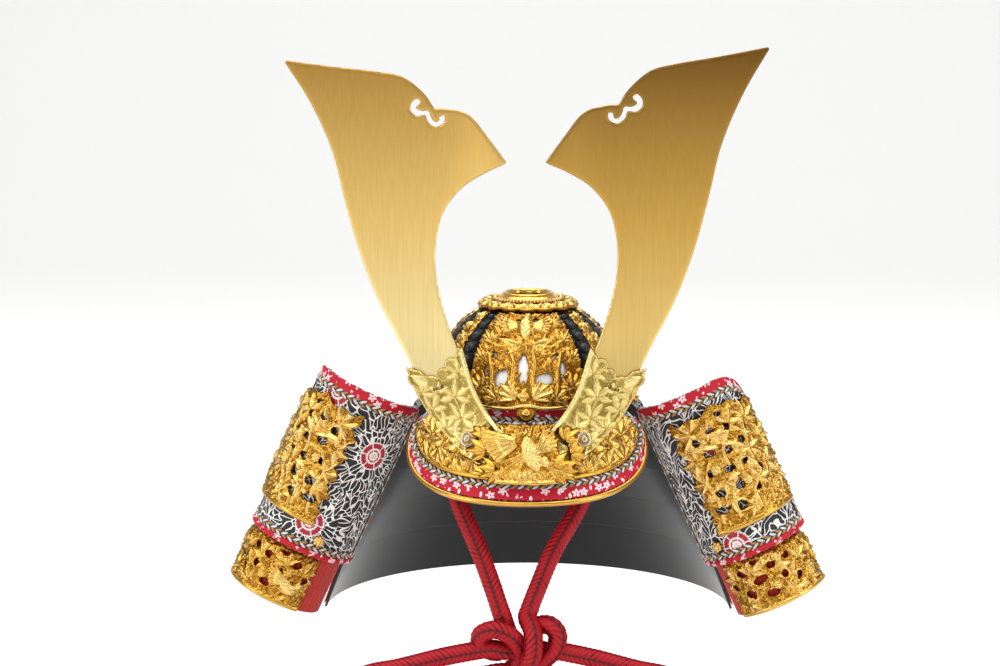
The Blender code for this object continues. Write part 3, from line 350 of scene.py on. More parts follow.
def mirrored(route):
    """The route on the other side of the knot."""
    return [(2 * KNOT_PLACE[0] - x, y, z) for x, y, z in route]


def make_cord(name, route, node, with_pieces=()):
    points, faces, flat, relief, line = tube(route, plait, CORD_STEP, CORD_SIDES)
    piece = fit(build(name, points, faces, [SILK], flat, relief), "red_silk", node)
    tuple(route[0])


def make_knot():
    points, faces, flat, relief = [], [], [], []
    for strand in KNOT_STRANDS:
        more_points, more_faces, more_flat, more_relief, _ = tube(strand, plait, CORD_STEP, CORD_SIDES)
        start = sum(len(p) for p in points)
        points.append(more_points)
        faces += [[k + start for k in face] for face in more_faces]
        flat.append(more_flat)
        relief.append(more_relief)
    knot = build("knot_strands", np.concatenate(points), faces, [SILK], np.concatenate(flat),
                 np.concatenate(relief))
    return fit(knot, "red_silk", "chin_knot")


def binding(along, angle):
    """Thread wound round a tail's end in close turns."""
    turn = np.abs(np.sin(math.pi * (along / 0.0007 + angle / (2 * math.pi))))
    return CORD_DIAMETER / 2 + 0.0001 + 0.0003 * turn, turn


def make_tail(name, route):
    """A tail and the thread bound round its end."""
    low, high = np.array(route[-1]), np.array(route[-2])
    start = low + (high - low) / np.linalg.norm(high - low) * 0.007
    points, faces, flat, relief, _ = tube([start, (start + low) / 2, low], binding, 0.0002, CORD_SIDES)
    bound = fit(build("bound_end_" + name, points, faces, [SILK], flat, relief), "red_silk")
    make_cord("tail_" + name, route, "cord_tail_" + name, [bound])


make_cord("chin_strap", CHIN_CORD_ROUTE, "chin_cord", [make_knot()])
make_cord("bow_loop_left", CORD_LOOP_ROUTE, "cord_loop_left")
make_cord("bow_loop_right", mirrored(CORD_LOOP_ROUTE), "cord_loop_right")
make_tail("left", CORD_TAIL_ROUTE)
make_tail("right", mirrored(CORD_TAIL_ROUTE))


# Bowl
# An iron bowl lacquered black, with ridge plates of big round studs between the gilt castings. The studs are
# turned domes, sprayed matt black.

BOWL_HALF_WIDTH = 0.050
BOWL_HALF_LENGTH = 0.054
BOWL_HEIGHT = 0.0515
BOWL_WALL = 0.002
# Millimetres of arc to a radian, over the bowl
BOWL_MEAN = 52.2
BOWL_FLAT = (52, 52)
CROWN_HOLE_RADIUS = 0.011
STRIP_TOP = math.radians(28)
STRIP_BOTTOM = math.radians(84)
STUD_AZIMUTHS = {"front": 45, "mid_front": 76, "mid_back": 104, "back": 135}
STUD_HALF_ANGLE = math.radians(5.7)
STUD_ROW_LOW = 0.00082
STUD_ROW_SHEET = 0.0006
STUD_COUNT = 7
STUD_RADIUS = 0.0034
STUD_HEIGHT = 0.0037
RIDGE_HEIGHT = 0.0016


def bowl_surface(azimuth, polar):
    """Over the bowl: azimuth from the front towards +X, polar from the crown downwards."""
    return np.stack([BOWL_HALF_WIDTH * np.sin(polar) * np.sin(azimuth),
                     -BOWL_HALF_LENGTH * np.sin(polar) * np.cos(azimuth),
                     BOWL_HEIGHT * np.cos(polar) + 0 * azimuth], -1)


def normal_of(base, u, v):
    """The outward direction of a surface."""
    step = 1e-4
    across = base(u + step, v) - base(u - step, v)
    down = base(u, v + step) - base(u, v - step)
    normal = np.cross(down, across)
    return normal / np.linalg.norm(normal, axis=-1, keepdims=True)


def raised(base, u, v, height):
    """Points at a height over a surface."""
    return base(u, v) + normal_of(base, u, v) * np.asarray(height)[..., None]


def laid(name, base, us, vs, low, high, materials, flat=(1000, 1000), wrap=False, side=1, round_edge=0.0):
    """A smooth closed sheet between two heights over a surface; flat turns u and v into millimetres."""
    u, v = np.meshgrid(us[:-1] if wrap else us, vs)
    tops = high(u, v) if callable(high) else np.full(u.shape, high)
    points = np.concatenate([raised(base, u, v, tops).reshape(-1, 3),
                             raised(base, u, v, np.full(u.shape, low)).reshape(-1, 3)])
    points[:, 0] *= side
    rows, columns = u.shape
    grid = np.arange(rows * columns).reshape(rows, columns)
    if wrap:
        grid = np.concatenate([grid, grid[:, :1]], 1)
    under = grid + rows * columns
    faces = np.stack([grid[:-1, :-1], grid[1:, :-1], grid[1:, 1:], grid[:-1, 1:]], -1).reshape(-1, 4).tolist()
    below = np.stack([under[:-1, :-1], under[:-1, 1:], under[1:, 1:], under[1:, :-1]], -1)
    faces += below.reshape(-1, 4).tolist()
    for edge, below in ((grid[0], under[0]), (grid[-1][::-1], under[-1][::-1])):
        faces += [[edge[k], edge[k + 1], below[k + 1], below[k]] for k in range(len(edge) - 1)]
    if not wrap:
        for edge, below in ((grid[::-1, 0], under[::-1, 0]), (grid[:, -1], under[:, -1])):
            faces += [[edge[k], edge[k + 1], below[k + 1], below[k]] for k in range(len(edge) - 1)]
    spread = np.stack([u * flat[0], v * flat[1]], -1).reshape(-1, 2)
    thing = build(name, points, faces, materials, np.concatenate([spread, spread]), sharp=35)
    if round_edge:
        bevel = thing.modifiers.new("worn_edge", "BEVEL")
        bevel.width = round_edge
        bevel.segments = 2
        bevel.limit_method = "ANGLE"
        bevel.angle_limit = math.radians(50)
    return thing


# Black urushi lacquer over iron: deep gloss with a slight roll in it
LACQUER, lacquer_tree, lacquer_shader = start_material("black_lacquered_iron", "#0A090B", 0.0, 0.34)
lacquer_place = add(lacquer_tree, "TexCoord")
lacquer_roll = add(lacquer_tree, "TexNoise", {"Vector": lacquer_place.outputs["Object"], "Scale": 90.0})
lacquer_bump = add(lacquer_tree, "Bump", {"Height": lacquer_roll, "Strength": 0.12, "Distance": 0.0005})
feed(lacquer_shader, {"Normal": lacquer_bump, "Coat Weight": 0.2, "Coat Roughness": 0.2})

# Sprayed black enamel on turned studs: an eggshell surface, greyer where it is rubbed
MATT_BLACK, matt_tree, matt_shader = start_material("matt_black_enamel", "#1D1D20", 0.0, 0.5)
matt_place = add(matt_tree, "TexCoord")
matt_cloud = add(matt_tree, "TexNoise", {"Vector": matt_place.outputs["Object"], "Scale": 300.0, "Detail": 4.0})
matt_colour = add(matt_tree, "ValToRGB", {"Fac": matt_cloud}, [(0.3, "#17171A"), (0.8, "#2C2C30")])
matt_bump = add(matt_tree, "Bump", {"Height": matt_cloud, "Strength": 0.15, "Distance": 0.0001})
feed(matt_shader, {"Base Color": matt_colour, "Normal": matt_bump})

bowl_top = math.asin(CROWN_HOLE_RADIUS / BOWL_HALF_WIDTH)
fit(laid("lacquered_bowl", bowl_surface, np.linspace(0, 2 * math.pi, 121),
         np.linspace(bowl_top, math.pi / 2, 26),
         -BOWL_WALL, 0.0, [LACQUER], BOWL_FLAT, wrap=True), "black_lacquer", "bowl_shell")


def stacked(parts):
    """Several meshes' points and faces as one."""
    points, faces, start = [], [], 0
    for more_points, more_faces in parts:
        points.append(np.asarray(more_points))
        faces += [[k + start for k in face] for face in more_faces]
        start += len(more_points)
    return np.concatenate(points), faces


def turned(profile, place, axis, around, scallops=0, depth=0.0):
    """A turned body; profile rows are (radius, height) from its foot's middle to its top's middle."""
    spin = np.array(Vector((0, 0, 1)).rotation_difference(Vector(axis)).to_matrix())
    angle = np.linspace(0, 2 * math.pi, around, endpoint=False)
    wave = 1 - depth * (1 - np.abs(np.cos(angle * scallops / 2)))
    rings = []
    for radius, height in profile:
        reach = max(radius, 1e-6) * wave
        rings.append(np.stack([reach * np.cos(angle), reach * np.sin(angle), np.full(around, height)], -1))
    points = np.concatenate(rings) @ spin.T + np.array(place)
    grid = np.arange(len(profile) * around).reshape(len(profile), around)
    after = np.roll(grid, -1, axis=1)
    faces = np.stack([grid[:-1], after[:-1], after[1:], grid[1:]], -1).reshape(-1, 4).tolist()
    if profile[0][0] == 0:
        faces += [grid[0][::-1].tolist(), grid[-1].tolist()]
    else:
        faces += np.stack([grid[-1], after[-1], after[0], grid[0]], -1).reshape(-1, 4).tolist()
    return points, faces


def dome(radius, height):
    """A round stud's profile, on a short straight foot."""
    curve = [(radius * math.cos(a), height * (0.15 + 0.85 * math.sin(a)))
             for a in np.linspace(0, math.pi / 2, 9)]
    return [(0, 0), (radius, 0)] + curve[:-1] + [(0, height)]


def make_stud_row(name, azimuth):
    """The ridge plate with its raised edges, and its column of studs."""
    def ridges(u, v):
        share = np.abs(u - azimuth) / STUD_HALF_ANGLE
        return STUD_ROW_LOW + STUD_ROW_SHEET + RIDGE_HEIGHT * np.clip(1 - np.abs(share - 0.88) / 0.11, 0, 1)

    plate = laid("ridge_" + name, bowl_surface, azimuth + STUD_HALF_ANGLE * np.array(
        [-1, -0.95, -0.88, -0.80, -0.72, -0.3, 0, 0.3, 0.72, 0.80, 0.88, 0.95, 1]),
        np.linspace(STRIP_TOP, STRIP_BOTTOM, 30), STUD_ROW_LOW, ridges, [MATT_BLACK], BOWL_FLAT)
    fit(plate, "matte_black_iron", "stud_row_" + name)
    parts = []
    for k in range(STUD_COUNT):
        polar = STRIP_TOP + (STRIP_BOTTOM - STRIP_TOP) * (k + 0.5) / STUD_COUNT
        at = np.array(azimuth), np.array(polar)
        width = STUD_HALF_ANGLE * BOWL_HALF_WIDTH * math.sin(polar)
        radius = min(STUD_RADIUS, width * 0.72)
        place = raised(bowl_surface, *at, STUD_ROW_LOW + STUD_ROW_SHEET - 0.0002)
        parts.append(turned(dome(radius, STUD_HEIGHT * radius / STUD_RADIUS), place,
                            normal_of(bowl_surface, *at), 24))
    fit(build("studs_" + name, *stacked(parts), [MATT_BLACK]), "matte_black_iron")


for stud_name, stud_degrees in STUD_AZIMUTHS.items():
    make_stud_row("right_" + stud_name, math.radians(stud_degrees))
    make_stud_row("left_" + stud_name, -math.radians(stud_degrees))


# Bowl castings
# Pierced plates of cast white metal, chased and gilt: bamboo sprays, blossoms and birds over openings that
# show what lies behind. Each is pinned over the bowl between the rows of studs.

PANEL_HALF_ANGLE = math.radians(37)
PANEL_TOP = math.radians(29.5)
PANEL_LOW = 0.00225
SILVER_LOW = 0.00093
SILVER_HIGH = 0.00133
BACK_LOW = 0.00093
STRIP_LOW = 0.00066
STRIP_HALF_ANGLE = math.radians(8)
STRIP_AZIMUTHS = {"front_side": 61, "side": 90, "back_side": 119}
CAST_SHEET = 0.9


class Relief:
    """A cast relief in millimetres, x across and y down: how far inside it each point lies, and its rise."""

    def __init__(self, left, right, top, foot, cell, ground):
        self.x, self.y = np.meshgrid(np.arange(left - cell, right + 2 * cell, cell),
                                     np.arange(top - cell, foot + 2 * cell, cell))
        self.inside = np.full(self.x.shape, 9.0 if ground else -9.0)
        pebbles = np.sin(self.x * 2.4 + np.sin(self.y * 1.1)) * np.sin(self.y * 2.2 + np.sin(self.x * 1.3))
        self.rise = 0.3 + 0.22 * pebbles

    def put(self, x, y, reach, shape):
        """Adds a shape round a point: shape(dx, dy) gives how far inside it each point is, and its rise."""
        columns = slice(*np.searchsorted(self.x[0], [x - reach, x + reach]))
        rows = slice(*np.searchsorted(self.y[:, 0], [y - reach, y + reach]))
        if columns.start == columns.stop or rows.start == rows.stop:
            return
        margin, rise = shape(self.x[rows, columns] - x, self.y[rows, columns] - y)
        self.inside[rows, columns] = np.maximum(self.inside[rows, columns], margin)
        self.rise[rows, columns] = np.where(margin > 0, np.maximum(self.rise[rows, columns], rise),
                                            self.rise[rows, columns])

    def pierce(self, x, y, wide, tall, turn=0.0):
        """An oval opening through the ground."""
        angle = math.radians(turn)
        across = (self.x - x) * math.cos(angle) + (self.y - y) * math.sin(angle)
        down = (self.y - y) * math.cos(angle) - (self.x - x) * math.sin(angle)
        margin = (np.hypot(across / wide, down / tall) - 1) * min(wide, tall)
        self.inside = np.minimum(self.inside, margin)

    def leaf(self, x, y, turn, length, width, rise):
        """A slender pointed leaf from its foot, turned in degrees from upright, ribbed along its middle."""
        angle = math.radians(turn)

        def shape(dx, dy):
            along = np.clip((dx * math.sin(angle) - dy * math.cos(angle)) / length, 0, 1)
            across = dx * math.cos(angle) + dy * math.sin(angle)
            half = width / 2 * np.sin(math.pi * along ** 0.78) ** 0.9
            share = np.abs(across) / np.maximum(half, 0.05)
            top = rise * (1 - 0.5 * np.clip(share, 0, 1) ** 1.5) * (0.75 + 0.25 * np.sin(math.pi * along))
            ribs = 0.12 * rise * (np.exp(-((share - 0.5) / 0.14) ** 2) - np.exp(-(across / 0.25) ** 2))
            return half - np.abs(across) - 9 * ((along <= 0) | (along >= 1)), top - ribs
        self.put(x, y, length + 1, shape)

    def spray(self, x, y, turn, size, rise=1.5, count=5, fan=72.0):
        """Bamboo leaves standing out from one point."""
        for k in range(count):
            share = k / (count - 1) * 2 - 1
            way = math.radians(turn + fan * share)
            self.leaf(x + 0.08 * size * math.sin(way), y - 0.08 * size * math.cos(way), turn + fan * share,
                      size * (1 - 0.2 * abs(share)), size * 0.33, rise * (1 - 0.15 * (k % 2)))

    def stem(self, points, radius, rise, joint=5.0):
        """A jointed stem along straight stretches."""
        for (x0, y0), (x1, y1) in zip(points, points[1:]):
            length = math.hypot(x1 - x0, y1 - y0)
            way = ((x1 - x0) / length, (y1 - y0) / length)

            def shape(dx, dy):
                along = np.clip(dx * way[0] + dy * way[1], 0, length)
                apart = np.hypot(dx - along * way[0], dy - along * way[1])
                ring = radius * (1 + 0.25 * np.exp(-(((along / joint) % 1 - 0.5) / 0.06) ** 2))
                return ring - apart, rise * np.sqrt(np.clip(1 - (apart / (ring * 1.15)) ** 2, 0, 1))
            self.put(x0, y0, length + radius + 1, shape)

    def blossom(self, x, y, radius, rise, petals=6):
        """A rosette with a round heart."""
        def shape(dx, dy):
            reach = np.hypot(dx, dy)
            lobe = np.abs(np.cos(np.arctan2(dy, dx) * petals / 2))
            edge = radius * (0.80 + 0.20 * lobe)
            petal = rise * (0.70 + 0.25 * lobe - 0.45 * (reach / edge) ** 4
                            - 0.25 * np.exp(-((reach - 0.42 * radius) / 0.25) ** 2))
            heart = rise * 1.1 * np.sqrt(np.clip(1 - (reach / (0.36 * radius)) ** 2, 0, 1))
            return edge - reach, np.maximum(petal, heart)
        self.put(x, y, radius + 1, shape)

    def granular(self, x, y, wide, tall, rise, turn=0.0):
        """A round body covered in small grains."""
        angle = math.radians(turn)

        def shape(dx, dy):
            across = dx * math.cos(angle) + dy * math.sin(angle)
            down = dy * math.cos(angle) - dx * math.sin(angle)
            reach = np.hypot(across / wide, down / tall)
            grains = 0.5 * np.sin(across * 3.1 + 1.5 * np.sin(down)) * np.sin(down * 2.9)
            swell = 0.45 + 0.55 * np.sqrt(np.clip(1 - reach ** 2, 0, 1))
            return (1 - reach) * min(wide, tall), rise * swell + grains
        self.put(x, y, max(wide, tall) + 1, shape)

    def wing(self, x, y, start, end, count, length, rise):
        """Two rows of round-ended feathers side by side, turned from a start to an end."""
        for share_out, swell in ((1.0, 0.70), (0.62, 0.85)):
            for k in range(count):
                share = k / (count - 1)
                way = math.radians(start + (end - start) * share)
                tip = length * share_out * (1 - 0.22 * share)
                root = 0.2 * length
                quill = [(x + far * math.sin(way), y - far * math.cos(way)) for far in (root, tip)]
                self.stem(quill, length * 0.066, rise * (swell + 0.10 * (k % 2)), 999)

    def foliage(self, seed, count, size, rise, box=None):
        """Small leaves and buds scattered over the ground that is left."""
        chance = np.random.default_rng(seed)
        left, right, top, foot = box or (self.x.min(), self.x.max(), self.y.min(), self.y.max())
        for _ in range(count):
            x, y = chance.uniform(left, right), chance.uniform(top, foot)
            turn, length = chance.uniform(0, 360), size * chance.uniform(0.7, 1.3)
            i, j = np.searchsorted(self.x[0], x), np.searchsorted(self.y[:, 0], y)
            if i < self.x.shape[1] and j < self.x.shape[0] and self.inside[j, i] > 0.2:
                if chance.random() < 0.3:
                    self.blossom(x, y, length * 0.4, rise * chance.uniform(0.6, 1.0), 5)
                else:
                    self.leaf(x, y, turn, length, length * 0.42, rise * chance.uniform(0.5, 1.0))

    def band(self, margin, width, rise):
        """A plain rounded border where the margin is less than a width."""
        share = np.clip(1 - np.abs(margin / width * 2 - 1), 0, 1)
        self.inside = np.where((margin > 0) & (margin < width), np.maximum(self.inside, 1.0), self.inside)
        self.rise = np.where((margin > 0) & (margin < width), rise * (0.35 + 0.65 * np.sqrt(share)), self.rise)


def cast(name, relief, edge, place, sheet, material):
    """A closed casting, kept where relief and edge are inside; place(x, y, height) puts it in its place."""
    field = np.minimum(relief.inside, edge)
    inside = field > 0
    number = np.where(inside, np.cumsum(inside).reshape(field.shape) - 1, -1)
    xs, ys = relief.x[inside].tolist(), relief.y[inside].tolist()
    heights = (sheet + relief.rise[inside]).tolist()
    corners = inside[:-1, :-1].astype(int) + inside[:-1, 1:] + inside[1:, 1:] + inside[1:, :-1]
    j, i = np.nonzero(corners == 4)
    faces = np.stack([number[j, i], number[j, i + 1], number[j + 1, i + 1], number[j + 1, i]], 1).tolist()
    rims = []
    crossings = {}

    def crossing(a, b):
        key = (min(a, b), max(a, b))
        if key not in crossings:
            kept, gone = (a, b) if inside[a] else (b, a)
            share = min(max(field[kept] / (field[kept] - field[gone]), 0.03), 0.97)
            crossings[key] = len(xs)
            xs.append(relief.x[kept] + (relief.x[gone] - relief.x[kept]) * share)
            ys.append(relief.y[kept] + (relief.y[gone] - relief.y[kept]) * share)
            heights.append(sheet * 0.7 + relief.rise[kept] * 0.45)
        return crossings[key]

    for j, i in np.argwhere((corners > 0) & (corners < 4)).tolist():
        ring = [(j, i), (j, i + 1), (j + 1, i + 1), (j + 1, i)]
        polygon = []
        leaving = None
        first_entering = None
        for a, b in zip(ring, ring[1:] + ring[:1]):
            if inside[a]:
                polygon.append(int(number[a]))
            if inside[a] != inside[b]:
                k = crossing(a, b)
                polygon.append(k)
                if inside[a]:
                    leaving = k
                elif leaving is None:
                    first_entering = k
                else:
                    rims.append((leaving, k))
                    leaving = None
        if first_entering is not None:
            rims.append((leaving, first_entering))
        faces.append(polygon)
    x, y, height = np.array(xs), np.array(ys), np.array(heights)
    count = len(x)
    points = np.concatenate([place(x, y, height), place(x, y, 0 * height)])
    faces += [[k + count for k in reversed(face)] for face in faces]
    faces += [[b, a, a + count, b + count] for a, b in rims]
    share = np.clip((height - sheet) / max(relief.rise[inside].max(), 0.3), 0, 1)
    flat = np.stack([x, y], 1)
    return build(name, points, faces, [material], np.concatenate([flat, flat]),
                 np.concatenate([share, share * 0]))


def gilding(name, deep, middle, bright, roughness, grit, strength):
    """Gilt metal with a fine cast grit, its colour painted darker in the hollows and paler on its high places:
    painted shade and painted highlight.
    """
    material, tree, shader = start_material(name, middle, 1.0, roughness)
    height = add(tree, "Attribute", attribute_name="relief")
    # The colour follows the relief's height: painted shade in the hollows, painted highlight on the high places
    colour = add(tree, "ValToRGB", {"Fac": height.outputs["Fac"]},
                 [(0.0, deep), (0.35, middle), (0.95, bright)])
    place = add(tree, "TexCoord")
    grain = add(tree, "TexNoise", {"Vector": place.outputs["Object"], "Scale": 1.0 / grit, "Detail": 3.0})
    bump = add(tree, "Bump", {"Height": grain, "Strength": strength, "Distance": 0.0003})
    feed(shader, {"Base Color": colour, "Normal": bump})
    return material


# Bright gilding over a casting, grit about 0.7 mm: orange in the hollows as painted shade, pale yellow on the
# high places as painted highlight
CAST_GILT = gilding("gilt_white_metal_casting", "#84561A", "#C49238", "#ECCB80", 0.25, 0.0007, 0.35)

# Silver-plated brass sheet behind the openings: hazed by lacquer to a satin, nearly white
SILVERED, silvered_tree, silvered_shader = start_material("silvered_brass_sheet", "#F8F4EC", 0.4, 0.4)
silvered_place = add(silvered_tree, "TexCoord")
silvered_rub = add(silvered_tree, "TexNoise", {"Vector": silvered_place.outputs["Object"], "Scale": 700.0})
silvered_bump = add(silvered_tree, "Bump", {"Height": silvered_rub, "Strength": 0.08, "Distance": 0.0001})
feed(silvered_shader, {"Normal": silvered_bump})

fit(laid("silver_lining", bowl_surface, np.linspace(-PANEL_HALF_ANGLE, PANEL_HALF_ANGLE, 30),
         np.linspace(STRIP_TOP, STRIP_BOTTOM, 20), SILVER_LOW, SILVER_HIGH, [SILVERED], BOWL_FLAT),
    "silver_plate", "silver_plate")


def on_bowl(azimuth, top, low, lift=0.0):
    """Where a casting drawn in millimetres lies on the bowl, lifted a little over the rim band."""
    def place(x, y, height):
        polar = top + y / BOWL_MEAN
        over = low + lift * np.clip((polar - math.radians(81)) / math.radians(4), 0, 1)
        return raised(bowl_surface, azimuth + x / (BOWL_MEAN * np.sin(polar)), polar, over + height / 1000)
    return place


def bowl_edge(relief, top, half_angle, foot):
    """How far inside a gore of the bowl each point lies."""
    half = half_angle * BOWL_MEAN * np.sin(top + relief.y / BOWL_MEAN)
    return np.minimum(np.minimum(relief.y, foot - relief.y), half - np.abs(relief.x))


panel_length = (STRIP_BOTTOM - PANEL_TOP) * BOWL_MEAN
panel_half = PANEL_HALF_ANGLE * BOWL_MEAN

# Columns: x, y, half width, half height, turn of each opening in the front panel, in millimetres and degrees
PANEL_OPENINGS = [
    (-1.6, 34.0, 2.6, 8.2, 0), (-13.4, 39.0, 3.2, 4.9, 24), (9.6, 39.6, 4.6, 3.0, -8),
    (20.0, 36.0, 1.6, 5.6, -4),
    (-11.6, 17.8, 2.7, 1.5, 12), (9.6, 18.0, 2.0, 1.2, -10), (4.2, 4.6, 2.0, 1.5, 20),
    (-22.0, 36.0, 1.3, 3.2, 6),
    (-17.5, 27.0, 1.3, 1.8, 0), (15.0, 27.5, 1.4, 2.0, 20), (-7.6, 27.0, 1.1, 1.6, 0),
    (-4.6, 5.4, 1.2, 0.9, -20),
]
# Columns: x, y, turn, size of each spray on the front panel
PANEL_SPRAYS = [
    (-4.5, 49.5, -62, 12.5), (2.5, 49.5, 62, 12.5), (-15.0, 50.0, -50, 9.0), (15.0, 50.0, 50, 9.0),
    (-24.0, 45.0, 10, 8.0), (24.5, 45.0, -10, 8.0), (-19.5, 20.0, -25, 7.5), (19.5, 20.0, 25, 7.5),
    (-13.5, 9.0, -40, 7.0), (14.0, 9.0, 40, 7.0), (-6.0, 25.5, -30, 5.5), (7.0, 26.0, 35, 5.5),
    (-24.0, 30.0, -30, 6.5), (25.0, 30.0, 30, 6.5), (-8.0, 47.0, 20, 6.0), (8.0, 47.5, -20, 6.0),
]
# Each stem and blossom of the front panel: x, y
PANEL_STEMS = [
    [(-8.0, 46), (-7.4, 38), (-6.6, 30), (-9.0, 24)], [(3.6, 46), (3.4, 38), (4.4, 30), (3.0, 24)],
    [(16.6, 46), (16.4, 36), (18, 26)], [(-19, 46), (-18.6, 36), (-20, 27)],
    [(-22, 20), (-14, 22.5), (-5, 21.5)],
    [(4, 21.5), (12, 23), (21, 19)],
]
PANEL_BLOSSOMS = [(-16, 13), (16, 14), (-22, 24), (22.5, 25), (-10, 31), (11.5, 31), (2.8, 20), (-3.5, 20)]
# Columns: x, y, half width, half height of the openings in the back panel
BACK_OPENINGS = [(-9, 16, 2.2, 4), (9, 16, 2.2, 4), (0, 27, 2.4, 5), (-14, 31, 2.6, 4), (14, 31, 2.6, 4)]


def lip_height(azimuth):
    """The height of the lip's middle over the rim's plane: highest over the middle rivet and at its ends."""
    return 0.0009 + 0.0016 * np.exp(-(azimuth / 0.12) ** 2) + 0.0022 * np.clip(np.abs(azimuth) - 0.3, 0, 1)


def make_front_panel():
    relief = Relief(-panel_half, panel_half, 0, panel_length + 5.5, 0.42, True)
    for x, y, wide, tall, turn in PANEL_OPENINGS:
        relief.pierce(x, y, wide, tall, turn)
    relief.foliage(3, 620, 3.4, 1.5)
    for line in PANEL_STEMS:
        relief.stem(line, 1.0, 1.5)
    for x, y, turn, size in PANEL_SPRAYS:
        relief.spray(x, y, turn, size, 2.6 if size > 10 else 1.9, 4 if size > 10 else 5,
                     34 if size > 10 else 70)
    for side in (-1, 1):
        relief.wing(side * 2.0 - 0.8, 10.5, side * 58, side * 112, 6, 13.0, 2.4)
        relief.leaf(side * 3.0, 21.0, side * 78, 14.0, 4.0, 2.3)
    relief.granular(-0.8, 11.5, 3.1, 7.2, 2.9)
    relief.granular(0.2, 3.6, 2.0, 2.2, 2.6)
    relief.blossom(-1.4, 48.0, 3.4, 2.3, 4)
    for x, y in PANEL_BLOSSOMS:
        relief.blossom(x, y, 1.9, 2.0, 6)
    edge = bowl_edge(relief, PANEL_TOP, PANEL_HALF_ANGLE - math.radians(0.5), panel_length + 5.2)
    azimuth = relief.x / (BOWL_MEAN * np.sin(PANEL_TOP + relief.y / BOWL_MEAN))
    edge = np.minimum(edge, panel_length + 5.2 - lip_height(azimuth) * 1000 - relief.y)
    edge = edge - 0.35 * np.abs(np.sin(relief.y * 0.9))
    return cast("front_casting", relief, edge, on_bowl(0.0, PANEL_TOP, PANEL_LOW, 0.0004), CAST_SHEET,
                CAST_GILT)


def make_back_panel():
    relief = Relief(-panel_half - 2, panel_half + 2, 0, panel_length, 0.8, True)
    for opening in BACK_OPENINGS:
        relief.pierce(*opening)
    relief.foliage(5, 420, 4.0, 1.4)
    for x in (-18, -6, 6, 18):
        relief.stem([(x, 46), (x * 0.8, 30), (x * 0.7, 12)], 1.2, 1.7)
        relief.spray(x * 0.9, 38, -15 if x > 0 else 15, 9, 1.9)
        relief.spray(x * 0.75, 22, 25 if x > 0 else -25, 8, 1.9)
    for side in (-1, 1):
        relief.wing(side * 2.4, 11.0, side * 62, side * 118, 6, 12.0, 2.0)
    relief.granular(0.0, 12.0, 3.1, 7.2, 2.6)
    edge = bowl_edge(relief, STRIP_TOP, PANEL_HALF_ANGLE, (STRIP_BOTTOM - STRIP_TOP) * BOWL_MEAN)
    relief.band(edge, 1.3, 1.1)
    return cast("back_casting", relief, edge, on_bowl(math.pi, STRIP_TOP, BACK_LOW), CAST_SHEET, CAST_GILT)


def make_strip(name, azimuth, seed):
    half = STRIP_HALF_ANGLE * BOWL_MEAN
    length = (STRIP_BOTTOM - STRIP_TOP) * BOWL_MEAN
    relief = Relief(-half, half, 0, length, 0.55, True)
    relief.foliage(seed, 220, 3.2, 1.6)
    for k in range(6):
        relief.spray((-1) ** k * 1.5, 8 + 8 * k, (-1) ** k * 35, 7.0, 2.2, 3, 40)
        relief.blossom((-1) ** k * -2.6, 5 + 8 * k, 1.9, 2.2, 6)
    edge = bowl_edge(relief, STRIP_TOP, STRIP_HALF_ANGLE + math.radians(1),
                     length) - 0.7 * np.abs(np.sin(relief.y * 0.7))
    return fit(cast("side_casting_" + name, relief, edge, on_bowl(azimuth, STRIP_TOP, STRIP_LOW), CAST_SHEET,
                    CAST_GILT),
               "cast_gilt", "gilt_strip_" + name)


fit(make_front_panel(), "cast_gilt", "front_panel")
fit(make_back_panel(), "cast_gilt", "back_panel")
for strip_seed, (strip_name, strip_degrees) in enumerate(STRIP_AZIMUTHS.items()):
    make_strip("right_" + strip_name, math.radians(strip_degrees), 11 + strip_seed)
    make_strip("left_" + strip_name, -math.radians(strip_degrees), 21 + strip_seed)


# Rim band, its braid and the waist plate
# A band of red printed leather is glued round the rim, with a silk braid along its foot and a gilt lip above
# it. The lacquered waist plate flares from it to carry the neck guard.

BAND_TOP = 0.004
BAND_BOTTOM = -0.0055
BAND_THICKNESS = 0.0018
BAND_INNER = 0.00064
CLEARANCE = 0.0003
WAIST_THICKNESS = 0.0012
WAIST_OUT = 0.00356
WAIST_DROP = 0.0063
WAIST_FLARE = 0.0067
WAIST_FRONT_ANGLE = math.radians(-12)
LIP_HALF_ANGLE = math.radians(36.5)


def rim_surface(azimuth, drop):
    """An upright wall round the rim, drop measured down from the rim's plane."""
    return np.stack([BOWL_HALF_WIDTH * np.sin(azimuth) + 0 * drop,
                     -BOWL_HALF_LENGTH * np.cos(azimuth) + 0 * drop,
                     -drop + 0 * azimuth], -1)


def waist_surface(angle, share):
    """The flare under the rim: angle from +X backwards, share from its top edge to its foot."""
    out = WAIST_OUT + WAIST_FLARE * share
    return np.stack([(BOWL_HALF_WIDTH + out) * np.cos(angle), (BOWL_HALF_LENGTH + out) * np.sin(angle),
                     BAND_BOTTOM / 5 - WAIST_DROP * share + 0 * angle], -1)


